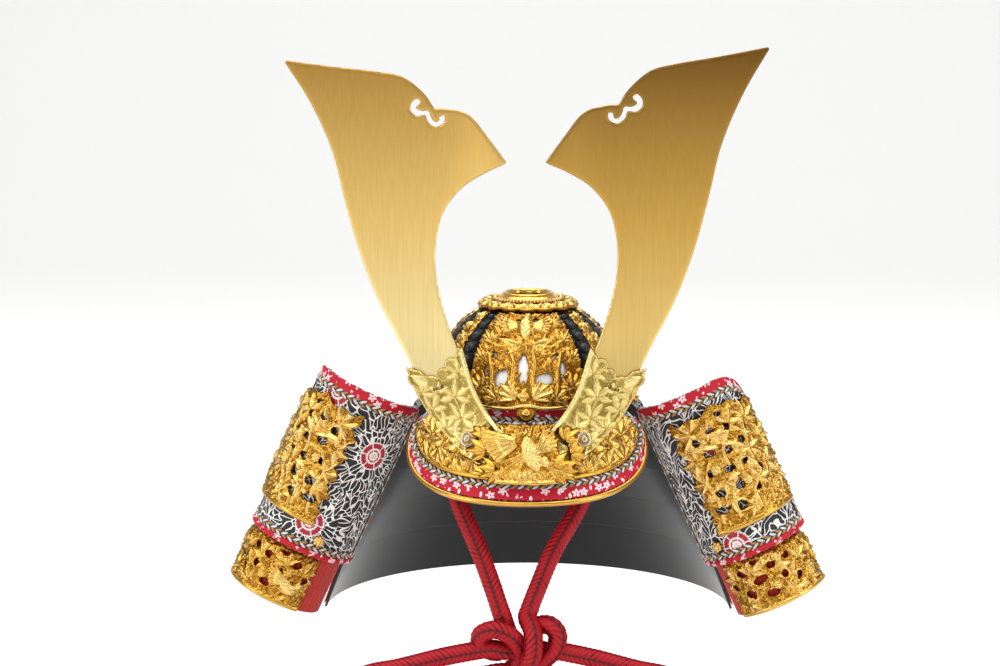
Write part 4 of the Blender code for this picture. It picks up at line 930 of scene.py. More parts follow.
def make_red_leather():
    """Deerskin printed red, leaving pale blossoms and leaf strokes: dry and softly grained."""
    material, tree, shader = start_material("red_printed_deerskin", "#B8162F", 0.0, 0.62)
    flat = add(tree, "UVMap", uv_map="developed")
    # One blossom to every 7 mm, turned each its own way
    cells = add(tree, "TexVoronoi", {"Vector": flat, "Scale": 0.15, "Randomness": 0.8}, voronoi_dimensions="2D")
    away = add(tree, "VectorMath", {0: flat, 1: cells.outputs["Position"]}, operation="SUBTRACT")
    parts = add(tree, "SeparateXYZ", {0: away})
    angle = add(tree, "Math", {0: parts.outputs["Y"], 1: parts.outputs["X"]}, operation="ARCTAN2")
    tint = add(tree, "SeparateColor", {0: cells.outputs["Color"]})
    turn = add(tree, "Math", {0: tint.outputs[1], 1: 6.3, 2: angle}, operation="MULTIPLY_ADD")
    lobes = add(tree, "Math", {0: turn, 1: 2.5}, operation="MULTIPLY")
    wave = add(tree, "Math", {0: lobes}, operation="COSINE")
    lobe = add(tree, "Math", {0: wave}, operation="ABSOLUTE")
    # Petals reach 2.4 mm, and the notches between them 0.8 mm
    reach = add(tree, "Math", {0: lobe, 1: 1.60, 2: 0.75}, operation="MULTIPLY_ADD")
    size = add(tree, "VectorMath", {0: away}, operation="LENGTH")
    petal = add(tree, "Math", {0: size.outputs["Value"], 1: reach}, operation="LESS_THAN")
    heart = add(tree, "Math", {0: size.outputs["Value"], 1: 0.42}, operation="GREATER_THAN")
    chosen = add(tree, "Math", {0: tint, 1: 0.35}, operation="GREATER_THAN")
    flower = add(tree, "Math", {0: petal, 1: heart}, operation="MULTIPLY")
    flowers = add(tree, "Math", {0: flower, 1: chosen}, operation="MULTIPLY")
    # Leaf strokes about 1.4 mm wide and 3.2 mm long between the blossoms
    squeeze = add(tree, "Mapping", {"Vector": flat, "Scale": (1.0, 0.45, 1.0), "Rotation": (0.0, 0.0, 0.7)})
    strokes = add(tree, "TexVoronoi", {"Vector": squeeze, "Scale": 0.32, "Randomness": 1.0},
                  voronoi_dimensions="2D")
    drift = add(tree, "TexNoise", {"Vector": flat, "Scale": 0.25}, noise_dimensions="2D")
    stroke = add(tree, "Math", {0: strokes, 1: 0.23}, operation="LESS_THAN")
    patch = add(tree, "Math", {0: drift, 1: 0.52}, operation="GREATER_THAN")
    dots = add(tree, "Math", {0: stroke, 1: patch}, operation="MULTIPLY")
    print_share = add(tree, "Math", {0: flowers, 1: dots}, operation="MAXIMUM")
    grain = add(tree, "TexNoise", {"Vector": flat, "Scale": 3.0, "Detail": 3.0})
    red = add(tree, "ValToRGB", {"Fac": grain}, [(0.3, "#A00A1E"), (0.75, "#C4142E")])
    colour = add(tree, "Mix", {0: print_share, 6: red, 7: linear("#EED2D4")}, data_type="RGBA")
    bump = add(tree, "Bump", {"Height": grain, "Strength": 0.25, "Distance": 0.0002})
    feed(shader, {"Base Color": colour.outputs[2], "Normal": bump, "Specular IOR Level": 0.3})
    return material


RED_LEATHER = make_red_leather()

# Cotton and silk plied into a flat braid: white, ochre and bottle green, each strand softly shaded
BRAID_COLOURS = {"white_braid_silk": "#D6D8DC", "ochre_braid_silk": "#B07412", "green_braid_silk": "#0B1710"}


def make_braid_material(name, colour):
    material, tree, shader = start_material(name, colour, 0.0, 0.5)
    place = add(tree, "TexCoord")
    # Threads 0.6 mm apart, as coarse as they need to be to show
    thread = add(tree, "TexNoise", {"Vector": place.outputs["Object"], "Scale": 1600.0, "Detail": 1.0})
    fade = add(tree, "Math", {0: thread, 1: 0.35}, operation="MULTIPLY")
    shade = add(tree, "Mix", {0: fade, 6: linear(colour), 7: linear("#5A5048")}, data_type="RGBA")
    bump = add(tree, "Bump", {"Height": thread, "Strength": 0.4, "Distance": 0.0002})
    feed(shader, {"Base Color": shade.outputs[2], "Normal": bump, "Sheen Weight": 0.2})
    return material


BRAID_SILK = [make_braid_material(name, colour) for name, colour in BRAID_COLOURS.items()]
BRAID_PITCH = 0.0038
STITCH_HALF = (0.00230, 0.00078, 0.00065)


def bead(along, across, up):
    """A stitch: a pointed oval of eight sides, with its half sizes."""
    turns = np.linspace(0, 2 * math.pi, 8, endpoint=False)
    points = [(-along, 0, 0)]
    for share in (-0.8, -0.35, 0.35, 0.8):
        girth = (1 - share ** 2) ** 0.6
        points += [(along * share, across * girth * math.cos(a), up * girth * math.sin(a)) for a in turns]
    points.append((along, 0, 0))
    faces = [[0, 1 + (k + 1) % 8, 1 + k] for k in range(8)]
    for row in (0, 8, 16):
        faces += [[1 + row + k, 1 + row + (k + 1) % 8, 9 + row + (k + 1) % 8, 9 + row + k] for k in range(8)]
    faces += [[33, 25 + k, 25 + (k + 1) % 8] for k in range(8)]
    return np.array(points), faces


def braid(name, line, normals):
    """Slanting stitches in pairs along a line, white and ochre in turn, over a green core."""
    spaced, along = evenly(line, BRAID_PITCH)
    lengths = np.concatenate([[0], np.cumsum(np.linalg.norm(np.diff(line, axis=0), axis=1))])
    up = np.stack([np.interp(along, lengths, normals[:, axis]) for axis in range(3)], 1)
    up /= np.linalg.norm(up, axis=1, keepdims=True)
    ahead = np.gradient(spaced, axis=0)
    ahead /= np.linalg.norm(ahead, axis=1, keepdims=True)
    across = np.cross(up, ahead)
    stitch, stitch_faces = bead(*STITCH_HALF)
    core, core_faces = bead(STITCH_HALF[0] * 1.3, STITCH_HALF[1] * 2.7, STITCH_HALF[2] * 0.95)
    parts, picks = [], []
    for k in range(len(spaced)):
        for side in (-1, 1):
            lean = math.radians(30) * side
            way = ahead[k] * math.cos(lean) - across[k] * math.sin(lean)
            beside = np.cross(up[k], way)
            centre = spaced[k] + across[k] * side * STITCH_HALF[1] * 0.95 + up[k] * STITCH_HALF[2] * 0.5
            parts.append((centre + stitch @ np.array([way, beside, up[k]]), stitch_faces))
            picks += [(k + (side > 0)) % 2] * len(stitch_faces)
        parts.append((spaced[k] + core @ np.array([ahead[k], across[k], up[k]]), core_faces))
        picks += [2] * len(core_faces)
    return fit(build(name, *stacked(parts), BRAID_SILK, picks=picks), "red_silk")


def braid_on(name, base, u, v, height, side=1):
    """A braid laid over a surface along u and v."""
    line = raised(base, u, v, np.full(u.shape, height))
    normals = normal_of(base, u, v)
    line[:, 0] *= side
    normals[:, 0] *= side
    return braid(name, line, normals)


fit(laid("rim_leather", rim_surface, np.linspace(0, 2 * math.pi, 121), np.linspace(-BAND_TOP, -BAND_BOTTOM, 6),
         BAND_INNER, BAND_INNER + BAND_THICKNESS, [RED_LEATHER], (52, 1000), wrap=True, round_edge=0.0005),
    "red_printed_leather", "bowl_band")
band_turn = np.linspace(-math.radians(70), math.radians(70), 120)
braid_on("rim_braid", rim_surface, band_turn, np.full(120, -BAND_BOTTOM + 0.0002),
         BAND_INNER + BAND_THICKNESS + CLEARANCE)


def lip_skin(along, angle):
    """The plain gilt lip: a flattened round bar."""
    return 0.0013 + 0.0004 * np.sin(angle) ** 2 + 0 * along, 0.8 + 0 * along + 0 * angle


def make_lip():
    """The lip under the front panel, rising over the middle rivet."""
    azimuth = np.linspace(-LIP_HALF_ANGLE, LIP_HALF_ANGLE, 25)
    line = raised(rim_surface, azimuth, -lip_height(azimuth), np.full(25, BAND_INNER + BAND_THICKNESS + 0.0013))
    points, faces, flat, relief, _ = tube(line, lip_skin, 0.0008, 20)
    return build("gilt_lip", points, faces, [CAST_GILT], flat, relief)


fit(make_lip(), "cast_gilt")
fit(laid("lacquered_waist", waist_surface, np.linspace(WAIST_FRONT_ANGLE, math.pi - WAIST_FRONT_ANGLE, 90),
         np.linspace(0, 1, 6), 0.0, WAIST_THICKNESS, [LACQUER], (58, 9), round_edge=0.0003), "black_lacquer",
         "waist_plate")


# Crown fitting
# A scalloped gilt casting over the top hole, with beads cast on it, and a turned and polished collar in its
# middle. Both are pinned through the crown of the bowl.

CROWN_PLATE_RADIUS = 0.0277
CROWN_PLATE_TOP = 0.0524
CROWN_PLATE_DROP = 0.0033
CROWN_SCALLOPS = 16
COLLAR_RADIUS = 0.0159
CROWN_PLATE_HOLE = COLLAR_RADIUS * 0.85
BEAD_RING_RADIUS = 0.0182
BEAD_COUNT = 60
CROWN_MEAN = 22.0


def crown_surface(azimuth, share):
    """The crown plate's face, share from its hole to its scalloped edge."""
    scallop = 1 - 0.05 * share * (1 - np.abs(np.cos(azimuth * CROWN_SCALLOPS / 2)))
    radius = (CROWN_PLATE_HOLE + (CROWN_PLATE_RADIUS - CROWN_PLATE_HOLE) * share) * scallop
    fall = CROWN_PLATE_DROP * (radius / CROWN_PLATE_RADIUS) ** 3
    return np.stack([radius * np.sin(azimuth), -radius * np.cos(azimuth), CROWN_PLATE_TOP - fall], -1)


def make_crown_plate():
    around = 2 * math.pi * CROWN_MEAN
    deep = (CROWN_PLATE_RADIUS - CROWN_PLATE_HOLE) * 1000
    relief = Relief(0, around, 0, deep, 0.6, True)
    relief.foliage(31, 260, 3.2, 0.9)
    for k in range(CROWN_SCALLOPS):
        middle = around * k / CROWN_SCALLOPS
        relief.spray(middle, deep * 0.48, 180, deep * 0.55, 2.2, 3, 34)
        relief.blossom(middle + around / CROWN_SCALLOPS / 2, deep * 0.80, 2.0, 2.2, 6)
    edge = np.minimum(np.minimum(relief.y, deep - relief.y), np.minimum(relief.x, around - relief.x) + 0.01)
    relief.band(deep - relief.y, 1.3, 1.1)

    def place(x, y, height):
        return raised(crown_surface, math.pi + x / CROWN_MEAN, y / deep, (height - CAST_SHEET) / 1000)
    return cast("crown_casting", relief, edge, place, CAST_SHEET, CAST_GILT)


def make_beads():
    parts = []
    share = (BEAD_RING_RADIUS - CROWN_PLATE_HOLE) / (CROWN_PLATE_RADIUS - CROWN_PLATE_HOLE)
    for k in range(BEAD_COUNT):
        at = np.array(2 * math.pi * k / BEAD_COUNT), np.array(share)
        parts.append(turned(dome(0.00092, 0.0016), raised(crown_surface, *at, 0.0009),
                            normal_of(crown_surface, *at), 9))
    points, faces = stacked(parts)
    return build("crown_beads", points, faces, [CAST_GILT], relief=np.full(len(points), 0.9))


# Columns: share of the collar's radius, height; the collar from its inner foot, outwards and back in
COLLAR_PROFILE = [
    (0.69, 0.0), (1.0, 0.0), (1.03, 0.0004), (1.03, 0.0008), (0.99, 0.0012), (0.93, 0.0016), (0.90, 0.0022),
    (0.89, 0.0028), (0.86, 0.0033), (0.82, 0.0035), (0.77, 0.0033), (0.74, 0.0027), (0.72, 0.0018),
]


def polished_gilt(name, colour, roughness):
    """Turned brass, gilt and buffed: a clean mirror with faint turning marks 0.4 mm apart."""
    material, tree, shader = start_material(name, colour, 1.0, roughness)
    place = add(tree, "TexCoord")
    rings = add(tree, "TexNoise", {"Vector": place.outputs["Object"], "Scale": 2500.0})
    bump = add(tree, "Bump", {"Height": rings, "Strength": 0.06, "Distance": 0.0001})
    feed(shader, {"Normal": bump})
    return material


POLISHED_GILT = polished_gilt("buffed_gilt_brass", "#E2B25A", 0.16)
fit(make_crown_plate(), "cast_gilt", "crown_plate")
fit(make_beads(), "cast_gilt")
fit(build("buffed_collar", *turned([(COLLAR_RADIUS * r, h) for r, h in COLLAR_PROFILE],
                                   (0, 0, CROWN_PLATE_TOP + CLEARANCE), (0, 0, 1), 64), [POLISHED_GILT]),
    "cast_gilt", "crown_collar")


# Visor
# A peak of board covered in black printed leather, bordered in red leather behind a braid, edged with a
# half-round gilt bar, and covered by a pierced casting of bamboo.

VISOR_LENGTH = 0.0465
VISOR_HALF_ANGLE = math.radians(76)
VISOR_VANISHING_ANGLE = math.radians(80)
VISOR_SLOPE = math.radians(53)
VISOR_SLOPE_LOSS = math.radians(16)
VISOR_SPREAD = 1.13
VISOR_CROWNING = 0.002
VISOR_BOARD = 0.002
VISOR_RIM_RADIUS = 0.0016
VISOR_RIM_CLEARANCE = 0.0005
VISOR_PLATE_HALF_ANGLE = math.radians(65)
VISOR_PLATE_TOP = 0.07
VISOR_PLATE_FOOT = 0.80
VISOR_BORDER_START = 0.86
VISOR_BRAID_SHARE = 0.835
VISOR_MEAN = 76.0
VISOR_FLAT = (VISOR_MEAN, VISOR_LENGTH * 1000)
VISOR_PLATE_LOW = 0.0011


def visor_surface(azimuth, share):
    """The sloping peak: azimuth from the front towards +X, share from the bowl to the rim."""
    turn = np.minimum(np.abs(azimuth) / VISOR_VANISHING_ANGLE, 1)
    length = VISOR_LENGTH * np.maximum(1 - turn ** 2.6, 0.04) ** 0.75
    slope = VISOR_SLOPE - VISOR_SLOPE_LOSS * (azimuth / VISOR_HALF_ANGLE) ** 6
    spread = azimuth * VISOR_SPREAD
    swell = VISOR_CROWNING * np.sin(math.pi * np.clip(share, 0, 1)) * length / VISOR_LENGTH
    reach = share * length * np.cos(slope) + swell * np.sin(slope)
    rim = BAND_INNER + BAND_THICKNESS + CLEARANCE
    return np.stack([(BOWL_HALF_WIDTH + rim) * np.sin(azimuth) + reach * np.sin(spread),
                     -(BOWL_HALF_LENGTH + rim) * np.cos(azimuth) - reach * np.cos(spread),
                     BAND_BOTTOM - CLEARANCE - share * length * np.sin(slope) + swell * np.cos(slope)], -1)


# Columns: across and down of each red wheel blossom on the flat leather, in millimetres
WHEELS = {"left": [(27.0, 32.0), (45.0, 79.0), (61.5, 7.0)], "right": [(49.0, 31.0), (36.0, 88.0)],
          "visor": [(30.0, 30.0)]}
WHEEL_RADIUS = 7.7
# Columns: share of the wheel's radius where a ring starts, its colour
WHEEL_RINGS = [(0.0, "#A8122A"), (0.06, "#EFE9E4"), (0.12, "#A8122A"), (0.19, "#EFE9E4"), (0.34, "#A8122A"),
               (0.47, "#EFE9E4"), (0.60, "#A8122A"), (0.97, "#EFE9E4")]


def make_black_leather(name, wheels, spread):
    """Deerskin smoked black, its ground left as white twigs, round red wheels and up trunks elsewhere."""
    material, tree, shader = start_material(name, "#1B1B1C", 0.0, 0.6)
    flat = add(tree, "UVMap", uv_map="developed")
    near, turn = None, None
    for middle in wheels:
        away = add(tree, "VectorMath", {0: flat, 1: (middle[0], middle[1], 0.0)}, operation="SUBTRACT")
        reach = add(tree, "VectorMath", {0: away}, operation="LENGTH")
        sides = add(tree, "SeparateXYZ", {0: away})
        angle = add(tree, "Math", {0: sides.outputs["Y"], 1: sides.outputs["X"]}, operation="ARCTAN2")
        if near is None:
            near, turn = reach.outputs["Value"], angle
            continue
        nearer = add(tree, "Math", {0: reach.outputs["Value"], 1: near}, operation="LESS_THAN")
        chosen = add(tree, "Mix", {0: nearer, 2: turn, 3: angle})
        least = add(tree, "Math", {0: reach.outputs["Value"], 1: near}, operation="MINIMUM")
        near, turn = least, chosen
    # Round a wheel the twigs double in number each time the distance doubles
    doubled = add(tree, "Math", {0: near, 1: 2.0}, operation="LOGARITHM")
    ring_number = add(tree, "Math", {0: doubled}, operation="FLOOR")
    ring_size = add(tree, "Math", {0: 2.0, 1: ring_number}, operation="POWER")
    around = add(tree, "Math", {0: turn, 1: ring_size}, operation="MULTIPLY")
    around_mm = add(tree, "Math", {0: around, 1: 1.35}, operation="MULTIPLY")
    outwards = add(tree, "Math", {0: near, 1: 0.38}, operation="MULTIPLY")
    round_wheel = add(tree, "CombineXYZ", {0: outwards, 1: around_mm})
    # Trunks 16 mm apart, each with twigs slanting off to both sides
    parts = add(tree, "SeparateXYZ", {0: flat})
    sway = add(tree, "TexNoise", {"Vector": flat, "Scale": 0.045}, noise_dimensions="2D")
    swayed = add(tree, "Math", {0: sway, 1: 16.0, 2: parts.outputs["X"]}, operation="MULTIPLY_ADD")
    leaned = add(tree, "Math", {0: parts.outputs["Y"], 1: 0.22, 2: swayed}, operation="MULTIPLY_ADD")
    fold = add(tree, "Math", {0: leaned, 1: 8.0}, operation="PINGPONG")
    climb = add(tree, "Math", {0: fold, 1: parts.outputs["Y"]}, operation="ADD")
    level = add(tree, "Math", {0: climb, 1: 0.72}, operation="MULTIPLY")
    stretched = add(tree, "Math", {0: fold, 1: 0.40}, operation="MULTIPLY")
    up_trunk = add(tree, "CombineXYZ", {0: stretched, 1: level})
    radial = add(tree, "Math", {0: near, 1: spread}, operation="LESS_THAN")
    place = add(tree, "Mix", {0: radial, 4: up_trunk, 5: round_wheel}, data_type="VECTOR")
    # Black cells about 3 mm by 6.5 mm between white twigs 0.6 mm wide
    wander = add(tree, "TexNoise", {"Vector": flat, "Scale": 0.16, "Detail": 0.0}, noise_dimensions="2D")
    drawn = add(tree, "VectorMath", {0: wander.outputs["Color"], 1: (3.0, 3.0, 0.0), 2: place.outputs[1]},
                operation="MULTIPLY_ADD")
    cells = add(tree, "TexVoronoi", {"Vector": drawn, "Scale": 0.40, "Randomness": 0.9},
                voronoi_dimensions="2D",
                feature="DISTANCE_TO_EDGE")
    twig = add(tree, "Math", {0: cells, 1: 0.100}, operation="LESS_THAN")
    trunk = add(tree, "Math", {0: fold, 1: 0.4}, operation="LESS_THAN")
    straight = add(tree, "Math", {0: trunk, 1: radial}, operation="GREATER_THAN")
    white = add(tree, "Math", {0: twig, 1: straight}, operation="MAXIMUM")
    ink = add(tree, "Mix", {0: white, 6: linear("#151517"), 7: linear("#E6E2DC")}, data_type="RGBA")
    # The wheel: a dotted heart and two rings of petals with notched inner edges
    notches = add(tree, "Math", {0: turn, 1: 28.0}, operation="MULTIPLY")
    notch = add(tree, "Math", {0: notches}, operation="SINE")
    worn = add(tree, "Math", {0: notch, 1: 0.25, 2: near}, operation="MULTIPLY_ADD")
    share = add(tree, "Math", {0: worn, 1: 1.0 / WHEEL_RADIUS}, operation="MULTIPLY")
    ring = add(tree, "ValToRGB", {0: share}, WHEEL_RINGS)
    ring.color_ramp.interpolation = "CONSTANT"
    spokes = add(tree, "Math", {0: turn, 1: 3.0}, operation="MULTIPLY")
    wave = add(tree, "Math", {0: spokes}, operation="SINE")
    side = add(tree, "Math", {0: wave}, operation="ABSOLUTE")
    gap = add(tree, "MapRange", {"Value": near, "From Min": 0.9, "From Max": 3.0,
                                 "To Min": 0.7, "To Max": 0.14})
    spoke = add(tree, "Math", {0: side, 1: gap}, operation="LESS_THAN")
    wheel = add(tree, "Mix", {0: spoke, 6: ring, 7: linear("#EFE9E4")}, data_type="RGBA")
    within = add(tree, "Math", {0: near, 1: WHEEL_RADIUS * 1.06}, operation="LESS_THAN")
    colour = add(tree, "Mix", {0: within, 6: ink.outputs[2], 7: wheel.outputs[2]}, data_type="RGBA")
    grain = add(tree, "TexNoise", {"Vector": flat, "Scale": 3.0, "Detail": 3.0})
    bump = add(tree, "Bump", {"Height": grain, "Strength": 0.25, "Distance": 0.0002})
    feed(shader, {"Base Color": colour.outputs[2], "Normal": bump})
    return material


VISOR_LEATHER = make_black_leather("black_printed_deerskin_visor", WHEELS["visor"], 0.0)
visor_turn = np.linspace(-VISOR_HALF_ANGLE, VISOR_HALF_ANGLE, 121)
fit(laid("visor_leather", visor_surface, visor_turn, np.linspace(0, 1, 21), -VISOR_BOARD, 0.0, [VISOR_LEATHER],
         VISOR_FLAT, round_edge=0.0004), "black_printed_leather", "visor_board")
fit(laid("visor_border", visor_surface, visor_turn, np.linspace(VISOR_BORDER_START, 1.006, 6), 0.0001, 0.0006,
         [RED_LEATHER],
         VISOR_FLAT, round_edge=0.0003), "red_printed_leather")
braid_on("visor_braid", visor_surface, visor_turn[4:-4], np.full(113, VISOR_BRAID_SHARE), 0.0006)


# Brass bar, gilt and buffed: a warm soft mirror
RIM_GILT = polished_gilt("buffed_gilt_bar", "#CC9C48", 0.26)


def make_visor_rim():
    """The half-round bar along the visor's edge."""
    edge = raised(visor_surface, visor_turn, np.full(121, 1.0), np.full(121, -VISOR_BOARD / 2))
    inner = raised(visor_surface, visor_turn, np.full(121, 0.97), np.full(121, -VISOR_BOARD / 2))
    out = (edge - inner) / np.linalg.norm(edge - inner, axis=1, keepdims=True)
    line = edge + out * (VISOR_RIM_RADIUS + VISOR_RIM_CLEARANCE - 0.0003)

    def skin(along, angle):
        return VISOR_RIM_RADIUS * (1.0 + 0.03 * np.cos(4 * angle)) + 0 * along, 0 * along + 0 * angle
    points, faces, flat, _, _ = tube(line, skin, 0.0016, 20)
    return build("gilt_visor_rim", points, faces, [RIM_GILT], flat)


fit(make_visor_rim(), "brushed_gilt", "visor_rim")


def make_visor_casting():
    half = VISOR_PLATE_HALF_ANGLE * VISOR_MEAN
    deep = (VISOR_PLATE_FOOT - VISOR_PLATE_TOP) * VISOR_LENGTH * 1000
    relief = Relief(-half, half, 0, deep, 0.5, True)
    for k in range(-7, 7):
        relief.pierce(k * 13.0 + 4.0, deep * 0.36, 2.6, 1.6, 30 - 12 * k)
        relief.pierce(k * 13.0 + 9.5, deep * 0.70, 3.2, 1.5, -20 - 8 * k)
    relief.foliage(43, 520, 3.6, 1.1)
    for k in range(-6, 7):
        x = k * 13.0
        relief.stem([(x - 3, deep - 2), (x, deep * 0.5), (x + 4 * math.copysign(1, k), 2)], 0.9, 1.5)
        relief.spray(x, deep * 0.50, 10 * k, 14.0, 2.1, 5, 80)
        relief.spray(x + 6.5, deep * 0.92, 12 * k - 14, 13.5, 2.0, 4, 60)
        relief.spray(x - 2, deep * 0.62, 180 + 10 * k, 13.0, 1.9, 4, 66)
        relief.spray(x + 6.5, deep * 0.22, 150 - 8 * k, 12.0, 1.9, 4, 80)
    for side in (-1, 1):
        relief.blossom(side * (half - 8.0), deep * 0.40, 4.0, 2.4, 8)
        relief.granular(side * (half - 8.0), deep * 0.40, 2.0, 2.0, 2.8)
        relief.blossom(side * half * 0.52, deep * 0.30, 2.2, 2.1, 6)
        relief.blossom(side * half * 0.27, deep * 0.72, 2.0, 2.1, 6)
    corner = (np.abs(relief.x) / half) ** 6 * deep * 0.30
    below = np.minimum(deep - corner - relief.y, half - np.abs(relief.x))
    edge = np.minimum(relief.y - corner, below)
    relief.band(below, 2.6, 1.3)

    def place(x, y, height):
        return raised(visor_surface, x / VISOR_MEAN, VISOR_PLATE_TOP + y / 1000 / VISOR_LENGTH,
                      VISOR_PLATE_LOW + height / 1000)
    return cast("visor_casting", relief, edge, place, CAST_SHEET * 0.7, CAST_GILT)


fit(make_visor_casting(), "cast_gilt", "visor_openwork")


# Crest holder, sparrow and rivets
# A V of pale gilt casting on the front of the visor, pinned by two bronze rivets, with bamboo in low relief
# inside a smooth lip, and a sparrow with spread wings at its foot. It grips the horns' tangs behind its arms.

HOLDER_HALF_SPAN = 0.0642
HOLDER_HEIGHT = 0.0347
HOLDER_DEPTH = 0.034
HOLDER_SHEET = 0.0012
HOLDER_FRONT = -0.0726
HOLDER_WRAP = 0.0130
HOLDER_WRAP_WIDTH = 0.033
HOLDER_ARM_LEAN = 0.10
HOLDER_FOOT_LEAN = 0.36
SPARROW_CLEARANCE = 0.0012
CREST_RIVET_PLACE = (0.0297, -0.0136)
CREST_RIVET_CLEARANCE = 0.0017
CENTRE_RIVET_HEIGHT = -0.0014
RIVET_RADIUS = 0.0042
RIVET_HEIGHT = 0.0045

# Columns: share of the half span outwards, share of the height upwards; the left arm, from its outer tip
# inwards
HOLDER_TOP = [(1.0, 0.663), (0.98, 0.654), (0.869, 0.605), (0.832, 0.533), (0.702, 0.524), (0.656, 0.654),
              (0.620, 0.723), (0.583, 0.870), (0.528, 1.0)]
HOLDER_INNER = [(0.528, 1.0), (0.472, 0.654), (0.435, 0.429), (0.371, 0.190), (0.298, -0.017), (0.213, -0.207),
                (0.084, -0.363), (0.0, -0.42)]
# Columns: share of the half span outwards, share of the depth downwards; the foot, from the middle outwards
HOLDER_FOOT = [(0.0, 1.0), (0.14, 1.02), (0.265, 0.96), (0.30, 0.80), (0.42, 0.73), (0.583, 0.503)]
HOLDER_OUTER = [(0.583, -0.493), (0.731, -0.207), (0.822, 0.0), (0.914, 0.277), (1.0, 0.663)]


def holder_front(x, z):
    """The y of the holder's front face."""
    wrap = 1 - np.exp(-(x / HOLDER_WRAP_WIDTH) ** 2)
    lean = np.where(z > 0, HOLDER_ARM_LEAN, HOLDER_FOOT_LEAN)
    return HOLDER_FRONT + HOLDER_WRAP * wrap + lean * np.minimum(z, HOLDER_HEIGHT)


def to_outline(x, y, outline):
    """How far inside a closed outline each point lies."""
    nearest = np.full(x.shape, 1e9)
    within = np.zeros(x.shape, bool)
    for (x0, y0), (x1, y1) in zip(outline, outline[1:] + outline[:1]):
        nearest = np.minimum(nearest, to_line(x, y, [(x0, y0), (x1, y1)]))
        if y0 != y1:
            within ^= ((y0 > y) != (y1 > y)) & (x < x0 + (x1 - x0) * (y - y0) / (y1 - y0))
    return np.where(within, nearest, -nearest)


def to_line(x, y, line):
    """How far each point is from a line of straight stretches."""
    nearest = np.full(x.shape, 1e9)
    for (x0, y0), (x1, y1) in zip(line, line[1:]):
        length = max(math.hypot(x1 - x0, y1 - y0), 1e-9)
        way = ((x1 - x0) / length, (y1 - y0) / length)
        along = np.clip((x - x0) * way[0] + (y - y0) * way[1], 0, length)
        nearest = np.minimum(nearest, np.hypot(x - x0 - along * way[0], y - y0 - along * way[1]))
    return nearest


def scaled_rows(rows, wide, tall):
    """A table's rows in millimetres, x outwards and y down."""
    return [(x * wide * 1000, -z * tall * 1000) for x, z in rows]


holder_inner = scaled_rows(HOLDER_INNER, HOLDER_HALF_SPAN, HOLDER_HEIGHT)
holder_top = scaled_rows(HOLDER_TOP, HOLDER_HALF_SPAN, HOLDER_HEIGHT)
holder_outer = scaled_rows(HOLDER_OUTER, HOLDER_HALF_SPAN, HOLDER_HEIGHT)
holder_foot = [(x, -y) for x, y in scaled_rows(HOLDER_FOOT, HOLDER_HALF_SPAN, HOLDER_DEPTH)]


# Columns: x outwards, y down and radius of each round lobe along an arm's top, in millimetres
HOLDER_LOBES = [(58.6, -17.2, 4.4), (50.6, -14.6, 4.2), (43.8, -19.0, 4.0), (40.0, -25.0, 3.4)]
# Columns: x outwards, y down, turn, size of the open sprays on an arm
HOLDER_SPRAYS = [(37.5, -8.0, 0, 7.8), (49.5, -0.5, 30, 7.4), (35.6, -20.5, 10, 6.4), (34.0, 3.0, 40, 7.6),
                 (42.0, 8.5, 15, 7.2), (26.5, 8.5, 55, 7.0), (55.5, -9.5, 0, 6.4), (46.5, -9.5, 50, 5.6),
                 (34.0, 15.0, 30, 7.0), (24.0, 18.5, 0, 6.6), (31.0, 24.0, 10, 6.0)]

# Each stem of an arm from its foot: x outwards, y down. Then the slits: x, y, half width, half height, turn
HOLDER_STEMS = [[(25, 12), (33, 2), (38, -8), (36, -20)], [(30, 18), (42, 8), (50, -2), (56, -12)]]
HOLDER_SLITS = [(46.4, -12.2, 1.5, 0.6, 25), (44.4, -13.8, 0.6, 1.1, 10), (48.6, -11.6, 0.5, 0.9, 0)]

# Paler gilding on brass: cooler and greener than the castings round it, painted darker between the leaves as
# painted shade
PALE_GILT = gilding("pale_gilt_brass_casting", "#6E5A24", "#C6AA5E", "#EEDA9C", 0.27, 0.0006, 0.6)


